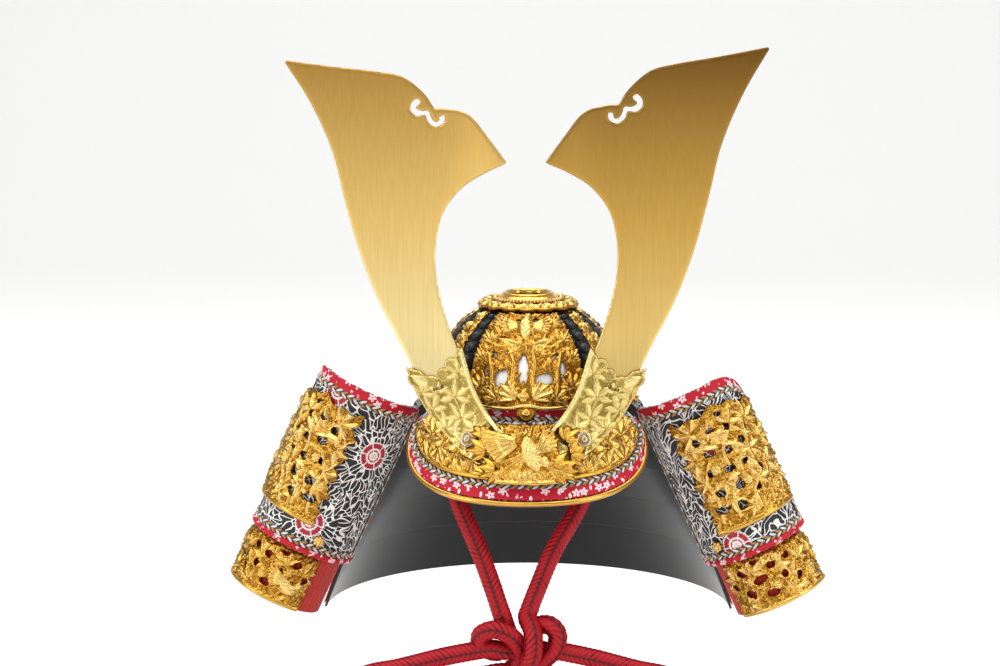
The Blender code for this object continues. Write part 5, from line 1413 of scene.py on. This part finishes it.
def make_holder():
    half = holder_inner[::-1][:-1] + holder_top[::-1][:-1] + holder_outer[::-1][:-1] + holder_foot[::-1]
    outline = half + [(-x, y) for x, y in reversed(half[1:-1])]
    relief = Relief(-66, 66, -37, 36, 0.5, True)
    relief.rise = 0.25 + 0.3 * (relief.rise - 0.3)
    relief.foliage(41, 900, 2.6, 0.6)
    out = np.abs(relief.x)
    edge = np.minimum(to_outline(relief.x, relief.y, outline), 33.0 - relief.y)
    for x, y, radius in HOLDER_LOBES:
        edge = np.maximum(edge, radius - np.hypot(out - x, relief.y - y))
    for side in (-1, 1):
        for x, y, turn, size in HOLDER_SPRAYS:
            relief.spray(side * x, y, side * turn, size * 1.25, 1.2, 5, 105)
        for line in HOLDER_STEMS:
            relief.stem([(side * x, y) for x, y in line], 0.4, 0.8)
    for side in (-1, 1):
        relief.leaf(side * 49.5, -12.5, side * 62, 13.5, 5.6, 1.5)
        for x, y, wide, tall, turn in HOLDER_SLITS:
            relief.pierce(side * x, y, wide, tall, side * turn)
    for x, y, radius in HOLDER_LOBES[1:]:
        ring = np.abs(np.hypot(out - x, relief.y - y) - (radius - 1.5))
        relief.rise = np.maximum(relief.rise, 0.8 * np.exp(-(ring / 0.35) ** 2))
        relief.rise = np.where(np.hypot(out - x, relief.y - y) < radius - 2.2, 0.5, relief.rise)
    lip = to_line(out, relief.y, holder_inner)
    smooth = np.clip(1 - np.abs(lip - 1.5) / 1.6, 0, 1)
    relief.rise = np.where(lip < 3.0, 0.2 + 1.3 * np.sqrt(smooth), relief.rise)
    relief.rise = np.where((edge < 0.9) & (lip > 3.0), 0.9, relief.rise)

    def place(x, y, height):
        front = holder_front(x / 1000, -y / 1000) + HOLDER_SHEET - height / 1000
        return np.stack([x / 1000, front, -y / 1000], -1)
    return cast("holder_casting", relief, edge, place, 1.0, PALE_GILT)


# Columns: x, y, turn, size of the sprays behind the sparrow
SPARROW_SPRAYS = [
    (-20, 18, -75, 12), (-22, 11, -30, 9), (20, 13, 40, 11), (23, 20, 80, 12), (-15, 27, -100, 11),
    (14, 26, 95, 13),
    (-11.5, 15.5, -6, 9), (11.5, 15.5, 10, 9), (19, 27, 115, 10), (-4, 11, -10, 6),
]


def make_sparrow():
    relief = Relief(-33, 31, 6, 39, 0.42, False)
    relief.granular(0, 21.0, 17.0, 11.0, 0.9)
    relief.foliage(47, 260, 3.4, 1.6, (-17, 17, 9, 31))
    for x, y, turn, size in SPARROW_SPRAYS:
        relief.spray(x, y, turn, size, 2.2, 4, 48)
    relief.wing(2.0, 17.5, -112, -150, 4, 16.0, 2.6)
    relief.wing(-2.0, 12.0, -80, -130, 8, 21.0, 3.2)
    relief.wing(5.5, 18.0, 20, 84, 7, 14.0, 3.2)
    relief.leaf(8.0, 23.5, 112, 13.0, 3.4, 3.0)
    relief.granular(3.2, 18.8, 4.7, 9.6, 4.2, -23)
    relief.granular(10.3, 22.6, 3.1, 2.9, 3.8)
    relief.leaf(12.0, 23.4, 85, 4.4, 1.7, 3.4)
    for x in np.linspace(-14.5, 14.5, 13):
        relief.granular(x, 29.6 + 0.8 * math.sin(x * 1.7), 2.6, 2.8, 2.4 + 0.5 * math.cos(x * 2.3))
    relief.stem([(-15.5, 33.0), (15.5, 33.2)], 1.3, 2.6, 40)
    edge = np.minimum(np.minimum(relief.x + 33, 31 - relief.x), np.minimum(relief.y - 6, 36.0 - relief.y))

    def place(x, y, height):
        front = holder_front(x / 1000, -y / 1000) - SPARROW_CLEARANCE - height / 1000
        return np.stack([x / 1000, front, -y / 1000], -1)
    return cast("sparrow_casting", relief, edge, place, CAST_SHEET, CAST_GILT)


fit(make_holder(), "pale_gilt", "crest_holder")
fit(make_sparrow(), "cast_gilt", "crest_sparrow")

# Columns: share of the rivet's radius, share of its height; a stepped washer under a ball
WASHER_PROFILE = [(0, 0), (1.0, 0.0), (1.05, 0.10), (1.0, 0.20), (0.90, 0.22), (0.86, 0.32), (0.78, 0.36),
                  (0.70, 0.34)]
BALL_PROFILE = [(0.40, 0.36), (0.49, 0.52), (0.52, 0.70), (0.48, 0.87), (0.37, 1.00), (0.20, 1.06), (0, 1.08)]


def make_rivet(name, place, axis, radius, height, metals, slot, node):
    dished = [(r * radius, h * height) for r, h in WASHER_PROFILE] + [(0, 0.34 * height)]
    washer = turned(dished, place, axis, 64, 20, 0.08)
    neck = [(0, 0.2 * height), (0.4 * radius, 0.25 * height)]
    ball = turned(neck + [(r * radius, h * height) for r, h in BALL_PROFILE], place, axis, 32)
    points, faces = stacked([washer, ball])
    picks = [0] * len(washer[1]) + [1] * len(ball[1])
    fit(build("pin_" + name, points, faces, metals, relief=np.full(len(points), 0.7), picks=picks, sharp=40),
        slot, node)


# Bronze left bright under clear lacquer: silvery brown
BRONZE = polished_gilt("lacquered_bronze", "#B8A486", 0.22)
# Gilt brass, worn to a browner tone on the middle rivet's washer
WORN_GILT = polished_gilt("worn_gilt_brass", "#A67C26", 0.18)
for pin_name, pin_side in (("left", -1), ("right", 1)):
    pin_x, pin_z = CREST_RIVET_PLACE
    pin_slope = (holder_front(pin_x + 0.001, pin_z) - holder_front(pin_x - 0.001, pin_z)) / 0.002
    pin_axis = np.array([pin_side * pin_slope, -1, HOLDER_FOOT_LEAN])
    pin_axis /= np.linalg.norm(pin_axis)
    pin_place = np.array([pin_side * pin_x, holder_front(pin_x, pin_z),
                          pin_z]) + pin_axis * CREST_RIVET_CLEARANCE
    make_rivet("crest_" + pin_name, pin_place, pin_axis, RIVET_RADIUS, RIVET_HEIGHT, [BRONZE, BRONZE],
               "silvery_bronze", "crest_rivet_" + pin_name)
    side_at = np.array(0.0), np.array(0.55)
    side_place = raised(waist_surface, *side_at, 0.0015)
    side_axis = normal_of(waist_surface, *side_at)
    flip = np.array([pin_side, 1, 1])
    make_rivet("side_" + pin_name, side_place * flip, side_axis * flip, 0.0026, 0.0031,
               [CAST_GILT, POLISHED_GILT], "cast_gilt",
               "side_rivet_" + pin_name)
make_rivet("centre", (0, -(BOWL_HALF_LENGTH + BAND_INNER + BAND_THICKNESS + CLEARANCE), CENTRE_RIVET_HEIGHT),
           (0, -1, 0),
           RIVET_RADIUS * 1.22, RIVET_HEIGHT, [WORN_GILT, POLISHED_GILT], "cast_gilt", "centre_rivet")


# Horns
# Two flat brass plates, sawn out, brushed from top to bottom and gilt. Each has a curl cut through it under
# its notch, and its tang slides in behind an arm of the holder.

HORN_SPAN = 0.127
HORN_HEIGHT = 0.186
HORN_SHEET = 0.0010
HORN_BOW = 0.008
HORN_BOW_START = 0.030
HORN_CLEARANCE = 0.0007
HORN_RISE = {"left": 0.0, "right": 0.0075}

# Columns: share of the span outwards, share of the height upwards
HORN_CREST = [(1.0, 1.0), (0.797, 0.982), (0.614, 0.968), (0.509, 0.953), (0.423, 0.908), (0.379, 0.864)]
HORN_HUMP = [(0.379, 0.864), (0.331, 0.864), (0.235, 0.848), (0.150, 0.780), (0.078, 0.715)]
HORN_INNER = [(0.078, 0.715), (0.173, 0.683), (0.269, 0.638), (0.345, 0.567), (0.376, 0.476), (0.374, 0.382),
              (0.347, 0.296), (0.303, 0.203), (0.276, 0.163)]
HORN_TANG = [(0.315, 0.043), (0.395, 0.043)]
HORN_OUTER = [(0.470, 0.110), (0.537, 0.203), (0.624, 0.322), (0.696, 0.454), (0.754, 0.600), (0.806, 0.746),
              (0.893, 0.882), (1.0, 1.0)]
HORN_CURL = [(0.435, 0.884), (0.454, 0.892), (0.476, 0.877), (0.476, 0.856), (0.451, 0.843), (0.416, 0.846),
             (0.406, 0.826), (0.373, 0.813), (0.340, 0.825), (0.338, 0.845), (0.358, 0.841), (0.359, 0.829),
             (0.382, 0.828), (0.398, 0.848), (0.401, 0.859), (0.434, 0.857), (0.459, 0.868), (0.444, 0.875)]


def make_brushed_gilt_painted_light(name, foot, middle, tip):
    """Brushed brass under thin gilding: fine streaks from top to bottom, with painted light making it paler at
    the foot and browner towards the tips.
    """
    material, tree, shader = start_material(name, middle, 1.0, 0.36)
    place = add(tree, "TexCoord")
    # Streaks 0.8 mm apart and 60 mm long, as coarse as they need to be to show
    stretch = add(tree, "Mapping", {"Vector": place.outputs["Object"], "Scale": (1.0, 1.0, 0.012)})
    streaks = add(tree, "TexNoise", {"Vector": stretch, "Scale": 1300.0, "Detail": 3.0})
    heights = add(tree, "SeparateXYZ", {0: place.outputs["Object"]})
    # Colour by height: painted light, paler at the horn's foot and browner towards its tip
    tone = add(tree, "MapRange", {"Value": heights.outputs["Z"], "From Min": 0.01, "From Max": 0.19})
    painted_light_by_height = add(tree, "ValToRGB", {0: tone}, [(0.0, foot), (0.5, middle), (1.0, tip)])
    share = add(tree, "Math", {0: streaks, 1: 0.3}, operation="MULTIPLY")
    rub = add(tree, "Mix", {0: share, 6: painted_light_by_height, 7: linear("#8A642A")}, data_type="RGBA")
    bump = add(tree, "Bump", {"Height": streaks, "Strength": 0.22, "Distance": 0.0002})
    feed(shader, {"Base Color": rub.outputs[2], "Normal": bump})
    return material


# The right horn's copy is painted browner and darker than the left, as painted shade
BRUSHED_GILT = {"left": make_brushed_gilt_painted_light("brushed_gilt_brass_left", "#FFEFB0", "#E6C374", "#A87F3A"),
                "right": make_brushed_gilt_painted_light("brushed_gilt_brass_right", "#F8DA8A", "#CEA450", "#6C4C20")}


def make_horn(name, side):
    rise = HORN_RISE[name]

    def rows(table):
        return [(x * HORN_SPAN * 1000, -(z * HORN_HEIGHT + rise * x * z ** 2) * 1000) for x, z in table]

    outline = []
    for stretch in (HORN_CREST, HORN_HUMP, HORN_INNER):
        outline += rows(smooth_line(stretch, 8)[:-1])
    outline += rows(HORN_TANG) + rows(smooth_line(HORN_OUTER, 8)[:-1])
    relief = Relief(8, 129, -196, -6, 1.25, True)
    curl = [tuple(p) for p in smooth_line(HORN_CURL + HORN_CURL[:1], 4)[:-1]]
    edge = np.minimum(to_outline(relief.x, relief.y, outline), -to_outline(relief.x, relief.y, rows(curl)))
    relief.rise[:] = 0.0

    def place(x, y, height):
        x, z = x / 1000, -y / 1000
        above = np.maximum(0.0, z - HORN_BOW_START) / (HORN_HEIGHT - HORN_BOW_START)
        level = HORN_BOW_START - 0.006 * np.log1p(np.exp((HORN_BOW_START - z) / 0.006))
        front = holder_front(x, level) + HOLDER_SHEET + HORN_CLEARANCE - HORN_BOW * above ** 2
        return np.stack([side * x, front + HORN_SHEET - height / 1000, z], -1)
    return fit(cast("brushed_horn_" + name, relief, edge, place, HORN_SHEET * 1000, BRUSHED_GILT[name]),
               "brushed_gilt", "horn_" + name)


make_horn("left", -1)
make_horn("right", 1)


# Turned-back sides
# Boards covered in black printed leather, curled forwards, edged with red leather above and a red roll below,
# braided along every edge, with a pierced casting on each.

SIDE_SLANT = math.radians(24.6)
SIDE_CORNER_X = 0.0597
SIDE_CORNER_Z = -0.008
TURN_START_Y = 0.002
TURN_LEG = 0.006
TURN_RADIUS = 0.0285
TURN_ANGLE = {"left": math.radians(194), "right": math.radians(172)}
TURN_LENGTH = 0.096
TURN_FLAT = (1000, TURN_LENGTH * 1000)
TURN_BOARD = 0.0022
TURN_CORNER_RADIUS = {"left": 0.016, "right": 0.024}
EDGING_TOP = 0.0051
TURN_PLATE_TOP = 0.013
TURN_PLATE_BOTTOM = 0.080
TURN_PLATE_START = {"left": math.radians(88), "right": math.radians(62)}
TURN_PLATE_ANGLE = math.radians(100)
TURN_PLATE_WAVE = 0.0015
TURN_PLATE_LOW = 0.0011
LOWER_TURN_INSET = 0.0035
LOWER_TURN_BOARD = 0.0014
LOWER_TURN_START = 0.098
LOWER_TURN_END = 0.129
LOWER_PLATE_START = {"left": math.radians(60), "right": math.radians(40)}
LOWER_PLATE_ANGLE = math.radians(125)
LACING_PITCH = 0.0034


def turn_surface(arc, along):
    """The right turned-back side: arc along its bend from the tangent point, along down its slanted axis."""
    angle = np.maximum(arc, 0) / TURN_RADIUS
    out = TURN_RADIUS * (1 - np.cos(angle))
    back = TURN_START_Y - TURN_RADIUS * np.sin(angle) - np.minimum(arc, 0)
    return np.stack([SIDE_CORNER_X + math.sin(SIDE_SLANT) * along + math.cos(SIDE_SLANT) * out,
                     back + 0 * along,
                     SIDE_CORNER_Z - math.cos(SIDE_SLANT) * along + math.sin(SIDE_SLANT) * out], -1)


def board_surface(full_arc, corner_radius):
    """The same bend with the board's outer top corner rounded; along is a share of its length."""
    def base(arc, share):
        past = np.maximum(0.0, arc - (full_arc - corner_radius)) / corner_radius
        top = corner_radius * (1 - np.sqrt(np.maximum(0.0, 1 - np.minimum(past, 1) ** 2)))
        return turn_surface(arc, top + (TURN_LENGTH - top) * share)
    return base


def roll_skin(along, angle):
    """A rolled leather edge."""
    return 0.0017 + 0 * along + 0 * angle, 0 * along + 0 * angle


# How far round a wheel its twigs reach, in millimetres, and where the small rosette sits: arc and along
WHEEL_SPREAD = {"left": 24.0, "right": 15.0}
ROSETTE_PLACES = {"left": (0.0365, 0.0865), "right": (0.0255, 0.0850)}


def make_turned_side(name, side):
    full_arc = TURN_ANGLE[name] * TURN_RADIUS
    base = board_surface(full_arc, TURN_CORNER_RADIUS[name])
    arcs = np.concatenate([[-TURN_LEG, -TURN_LEG / 2], np.linspace(0, full_arc * 0.85, 56),
                           np.linspace(full_arc * 0.86, full_arc, 22)])
    leather = make_black_leather("black_printed_deerskin_" + name, WHEELS[name], WHEEL_SPREAD[name])
    fit(laid("turned_board_" + name, base, arcs, np.linspace(0, 1, 40), -TURN_BOARD, 0.0, [leather],
             TURN_FLAT, side=side, round_edge=0.0005), "black_printed_leather",
             "turnback_" + name)
    top_edge = laid("top_edging_" + name, base, arcs, np.linspace(0, EDGING_TOP / TURN_LENGTH, 5),
                    0.0002, 0.0008, [RED_LEATHER], TURN_FLAT, side=side, round_edge=0.0003)
    fit(top_edge, "red_printed_leather", "turnback_trim_" + name)
    line = raised(base, arcs, np.full(len(arcs), 1 - 0.0012 / TURN_LENGTH), np.full(len(arcs), 0.0002))
    line[:, 0] *= side
    points, faces, flat, _, _ = tube(line, roll_skin, 0.001, 14)
    fit(build("leather_roll_" + name, points, faces, [RED_LEATHER], flat), "red_printed_leather")
    down = np.linspace((EDGING_TOP + 0.003) / TURN_LENGTH, 1 - 0.006 / TURN_LENGTH, 50)
    for edge, u, v in (("top", arcs, np.full(len(arcs), (EDGING_TOP + 0.0016) / TURN_LENGTH)),
                       ("low", arcs, np.full(len(arcs), 1 - 0.0048 / TURN_LENGTH)),
                       ("outer", np.full(50, full_arc - 0.0018), down),
                       ("inner", np.full(50, -TURN_LEG + 0.0018), down)):
        braid_on(edge + "_braid_" + name, base, u, v, 0.0005, side)
    relief = Relief(-4, 4, -4, 4, 0.35, False)
    relief.blossom(0, 0, 3.2, 2.2, 8)

    def place(x, y, rise):
        arc, along = ROSETTE_PLACES[name]
        return raised(turn_surface, arc + x / 1000, along + y / 1000,
                      0.0009 + rise / 1000) * np.array([side, 1, 1])
    fit(cast("rosette_" + name, relief, relief.inside, place, 0.8, CAST_GILT), "cast_gilt")


# Columns: x, y, half width, half height, turn of the openings in a side casting; x from its inner edge
SIDE_OPENINGS = [
    (17, 10, 3.0, 1.8, 20), (9, 12, 2.0, 2.8, -15), (26, 13, 1.8, 2.6, 10), (13, 21, 3.2, 2.4, 0),
    (22, 24, 2.6, 2.2, 25),
    (31, 22, 1.8, 2.6, -20), (9, 31, 1.8, 2.6, 10), (19, 34, 2.8, 2.4, -20), (28, 34, 2.2, 2.4, 0),
    (10, 44, 3.4, 2.6, 0),
    (20, 44, 2.8, 3.4, 10), (7, 53, 4.0, 2.6, 0), (17, 54, 2.6, 3.0, 0), (35, 40, 1.4, 2.4, 0),
    (29, 50, 1.8, 2.0, 30),
    (24, 5, 2.2, 1.2, 0), (36, 15, 1.2, 2.0, 0),
]
# Columns: x, y, turn, size of the sprays on a side casting
SIDE_SPRAYS = [
    (8, 7, -60, 13), (14, 16, -10, 13), (5, 22, -80, 12), (19, 21, 20, 12), (27, 12, 50, 11), (25, 30, 100, 11),
    (5, 36, -60, 9),
    (14, 39, 170, 11), (32, 28, 40, 10), (38, 10, 30, 10), (43, 24, 70, 10), (39, 38, 120, 10), (31, 45, 60, 9),
    (13, 49, 150, 9),
    (44, 48, 100, 9), (23, 58, -60, 8),
]
# Each stem and blossom of a side casting: x, y
SIDE_STEMS = [
    [(14, 60), (15, 48), (20, 40), (19, 26), (24, 12)], [(5, 60), (7, 47), (5, 36), (10, 26)],
    [(26, 60), (26, 50), (33, 42), (32, 28), (36, 8)],
]
SIDE_BLOSSOMS = [(12, 31), (30, 36), (22, 18), (35, 19), (40, 53), (25, 44), (4, 45)]


def make_side_casting(name, side):
    width, height = TURN_PLATE_ANGLE * TURN_RADIUS * 1000, (TURN_PLATE_BOTTOM - TURN_PLATE_TOP) * 1000
    relief = Relief(-6, width, -4, height, 0.5, True)
    for row in SIDE_OPENINGS:
        relief.pierce(*row)
    relief.foliage(51 if side > 0 else 61, 900, 3.4, 1.9, (0, width, 0, height - 5))
    relief.foliage(52 if side > 0 else 62, 500, 2.4, 2.3, (22, width, height * 0.45, height - 4))
    for line in SIDE_STEMS:
        relief.stem(line, 1.1, 2.2)
    for x, y, turn, size in SIDE_SPRAYS:
        relief.spray(x, y, turn, size, 2.9, 4, 84)
    for x, y, wide, tall, turn in SIDE_OPENINGS:
        relief.pierce(x, y, wide * 0.72, tall * 0.72, turn)
    for x, y in SIDE_BLOSSOMS:
        relief.blossom(x, y, 2.7, 2.9, 7)
    ragged = 1.6 * np.sin(relief.y * 0.55) + 0.8 * np.sin(relief.y * 1.3 + 1)
    edge = np.minimum(np.minimum(relief.x + 1 + ragged * (relief.y < height - 8), width - relief.x),
                      np.minimum(relief.y + 0.2 - 1.2 * np.sin(relief.x * 0.5), height - relief.y))
    foot = height - relief.y
    relief.band(np.where(foot < 3.4, foot, 9), 3.4, 1.5)
    relief.foliage(53 if side > 0 else 63, 60, 2.6, 1.7, (0, width, height - 4.5, height - 2.5))
    start = TURN_PLATE_START[name] * TURN_RADIUS

    def place(x, y, rise):
        share = x / width
        wave = np.sin(3 * math.pi * share) + 3 * np.maximum(0, share) ** 4
        swing = TURN_PLATE_WAVE * wave * (1 - y / height)
        points = raised(turn_surface, start + x / 1000, TURN_PLATE_TOP + y / 1000 + swing,
                        TURN_PLATE_LOW + rise / 1000)
        return points * np.array([side, 1, 1])
    fit(cast("bamboo_casting_" + name, relief, edge, place, CAST_SHEET, CAST_GILT), "cast_gilt",
        "turnback_plate_" + name)


# Columns: x, y, half width, half height, turn of the openings in a lower casting
LOWER_OPENINGS = [
    (11, 6, 3.2, 2.4, 20), (20, 13, 4.2, 2.0, -10), (29, 7, 2.8, 2.4, 0), (12, 19, 3.2, 2.2, 15),
    (24, 22, 3.8, 2.1, 0), (34, 15, 2.2, 2.8, 0), (4, 13, 1.8, 2.6, 0), (39, 6, 2.0, 1.8, 0),
    (42, 19, 2.2, 2.4, 0), (20, 2, 2.4, 1.2, 0),
]
# Columns: x, y, turn, size of the sprays on a lower casting; then x, y of its blossoms
LOWER_SPRAYS = [
    (6, 10, -40, 10), (16, 8, 30, 10), (31, 11, 60, 10), (37, 18, 10, 10), (46, 10, 40, 9), (8, 24, 100, 9),
    (35, 26, 60, 9), (49, 24, 80, 9), (57, 12, 60, 9), (25, 6, -20, 8),
]
LOWER_BLOSSOMS = [(14, 12), (28, 19), (43, 25), (52, 18), (33, 4)]


def make_lower_side(name, side):
    full_arc = TURN_ANGLE[name] * TURN_RADIUS * 0.97
    arcs = np.concatenate([np.linspace(-TURN_LEG, 0, 14), np.linspace(0, full_arc, 240)[1:]])

    def cords(u, v):
        return -LOWER_TURN_INSET - 0.0008 + 0.0008 * np.abs(np.sin(math.pi * u / LACING_PITCH)) ** 0.6
    fit(laid("laced_end_" + name, turn_surface, arcs, np.linspace(LOWER_TURN_START - 0.007, LOWER_TURN_END, 9),
             -LOWER_TURN_INSET - LOWER_TURN_BOARD, cords, [LACING_SILK], side=side), "red_silk",
             "lower_turn_" + name)
    width, height = LOWER_PLATE_ANGLE * TURN_RADIUS * 1000, (LOWER_TURN_END - LOWER_TURN_START) * 1000
    relief = Relief(-2, width, -3, height, 0.5, True)
    for row in LOWER_OPENINGS:
        relief.pierce(*row)
    relief.foliage(71 if side > 0 else 81, 420, 3.2, 1.7, (0, width, 0, height - 2))
    for x, y, turn, size in LOWER_SPRAYS:
        relief.spray(x, y, turn, size, 2.3, 4, 75)
    for x, y, wide, tall, turn in LOWER_OPENINGS:
        relief.pierce(x, y, wide * 0.8, tall * 0.8, turn)
    if side < 0:
        relief.wing(12.0, 17.0, 60, 118, 7, 13.0, 2.8)
        relief.wing(10.0, 19.0, -60, -120, 5, 9.0, 2.6)
        relief.granular(12.0, 19.0, 3.4, 6.5, 3.4, 60)
        relief.granular(6.0, 16.5, 2.2, 2.2, 3.4)
    for x, y in LOWER_BLOSSOMS:
        relief.blossom(x, y, 2.6, 2.5, 7)
    edge = np.minimum(np.minimum(relief.x + 0.8 * np.sin(relief.y), width - relief.x),
                      np.minimum(relief.y + 1.6 - 1.0 * np.sin(relief.x * 0.6), height - relief.y))
    foot = height - relief.y
    relief.band(np.where(foot < 3.0, foot, 9), 3.0, 1.8)
    start = LOWER_PLATE_START[name] * TURN_RADIUS

    def place(x, y, rise):
        tuck = -0.0012 * np.clip((4 - y) / 4, 0, 1)
        points = raised(turn_surface, start + x / 1000, LOWER_TURN_START + y / 1000,
                        -LOWER_TURN_INSET + 0.0016 + tuck + rise / 1000 * np.clip((y + 3) / 4, 0.45, 1))
        return points * np.array([side, 1, 1])
    fit(cast("lower_casting_" + name, relief, edge, place, CAST_SHEET, CAST_GILT), "cast_gilt",
        "lower_plate_" + name)


def make_lacing_silk():
    """Flat silk lacing cords, dyed red, with a chevron down each."""
    material, tree, shader = start_material("dyed_lacing_silk", "#D8281A", 0.0, 0.55)
    flat = add(tree, "UVMap", uv_map="developed")
    parts = add(tree, "SeparateXYZ", {0: flat})
    half = LACING_PITCH * 500
    fold = add(tree, "Math", {0: parts.outputs["X"], 1: half}, operation="PINGPONG")
    climb = add(tree, "Math", {0: fold, 1: 0.9, 2: parts.outputs["Y"]}, operation="MULTIPLY_ADD")
    # Threads 0.8 mm apart along the cord
    turn = add(tree, "Math", {0: climb, 1: 2 * math.pi / 0.8}, operation="MULTIPLY")
    wave = add(tree, "Math", {0: turn}, operation="SINE")
    level = add(tree, "MapRange", {"Value": wave, "From Min": -1.0})
    # The colour follows the threads' wave, darker in the troughs between threads: painted shade
    colour = add(tree, "ValToRGB", {0: level}, [(0.0, "#8E0F08"), (0.7, "#DA2C1A")])
    bump = add(tree, "Bump", {"Height": level, "Strength": 0.6, "Distance": 0.0003})
    feed(shader, {"Base Color": colour, "Normal": bump, "Sheen Weight": 0.1})
    return material


LACING_SILK = make_lacing_silk()
for side_name, side_sign in (("left", -1), ("right", 1)):
    make_turned_side(side_name, side_sign)
    make_side_casting(side_name, side_sign)
    make_lower_side(side_name, side_sign)


# Neck guard
# Five curved lames of black-lacquered metal, laced together with close rows of red silk. The top one hangs
# from the waist plate, and each below it from the one above.

NECK_FRONT_Y = TURN_START_Y + TURN_LEG + CLEARANCE
NECK_BACK_LENGTH = 0.0565
NECK_BACK_FLARE = 0.45
LAME_COUNT = 5
LAME_DEPTH = 0.024
LAST_LAME_DEPTH = 0.031
LAME_SHEET = 0.0014
LAME_STEP = 0.0020
LACING_SHEET = 0.0009
LACING_TOP_SHARE = 0.22


def neck_surface(angle, along):
    """The neck guard's cone: angle from +X backwards, along down its slant."""
    width = SIDE_CORNER_X + math.sin(SIDE_SLANT) * along
    length = NECK_BACK_LENGTH + NECK_BACK_FLARE * along
    return np.stack([width * np.cos(angle), NECK_FRONT_Y + length * np.sin(angle),
                     SIDE_CORNER_Z - math.cos(SIDE_SLANT) * along + 0 * angle], -1)


def make_lame(number):
    top = number * LAME_DEPTH + CLEARANCE
    depth = LAST_LAME_DEPTH if number == LAME_COUNT - 1 else LAME_DEPTH
    bottom = number * LAME_DEPTH + depth

    def leaned(angle, along):
        return raised(neck_surface, angle, along, LAME_STEP * (bottom - along) / (bottom - top))

    radius = (SIDE_CORNER_X + math.sin(SIDE_SLANT) * bottom) * 1000
    fit(laid(f"lacquered_lame_{number + 1}", leaned, np.linspace(0, math.pi, 90), np.linspace(top, bottom, 8),
             0.0, LAME_SHEET, [LACQUER], (radius, 1000), round_edge=0.0003),
        "black_lacquer", f"neck_lame_{number + 1}")
    first = top + (bottom - top) * LACING_TOP_SHARE
    pitch = LACING_PITCH * 1000 / radius

    def cords(u, v):
        swell = np.abs(np.sin(math.pi * u / pitch)) ** 0.6
        return LAME_SHEET + CLEARANCE + LACING_SHEET * (0.25 + 0.75 * swell)
    fit(laid(f"silk_lacing_{number + 1}", leaned, np.linspace(0.05, math.pi - 0.05, 6 * round(3 / pitch)),
             np.linspace(first, bottom - 0.0004, 4),
             LAME_SHEET + CLEARANCE, cords, [LACING_SILK], (radius, 1000)), "red_silk", f"lacing_{number + 1}")


for lame_number in range(LAME_COUNT):
    make_lame(lame_number)
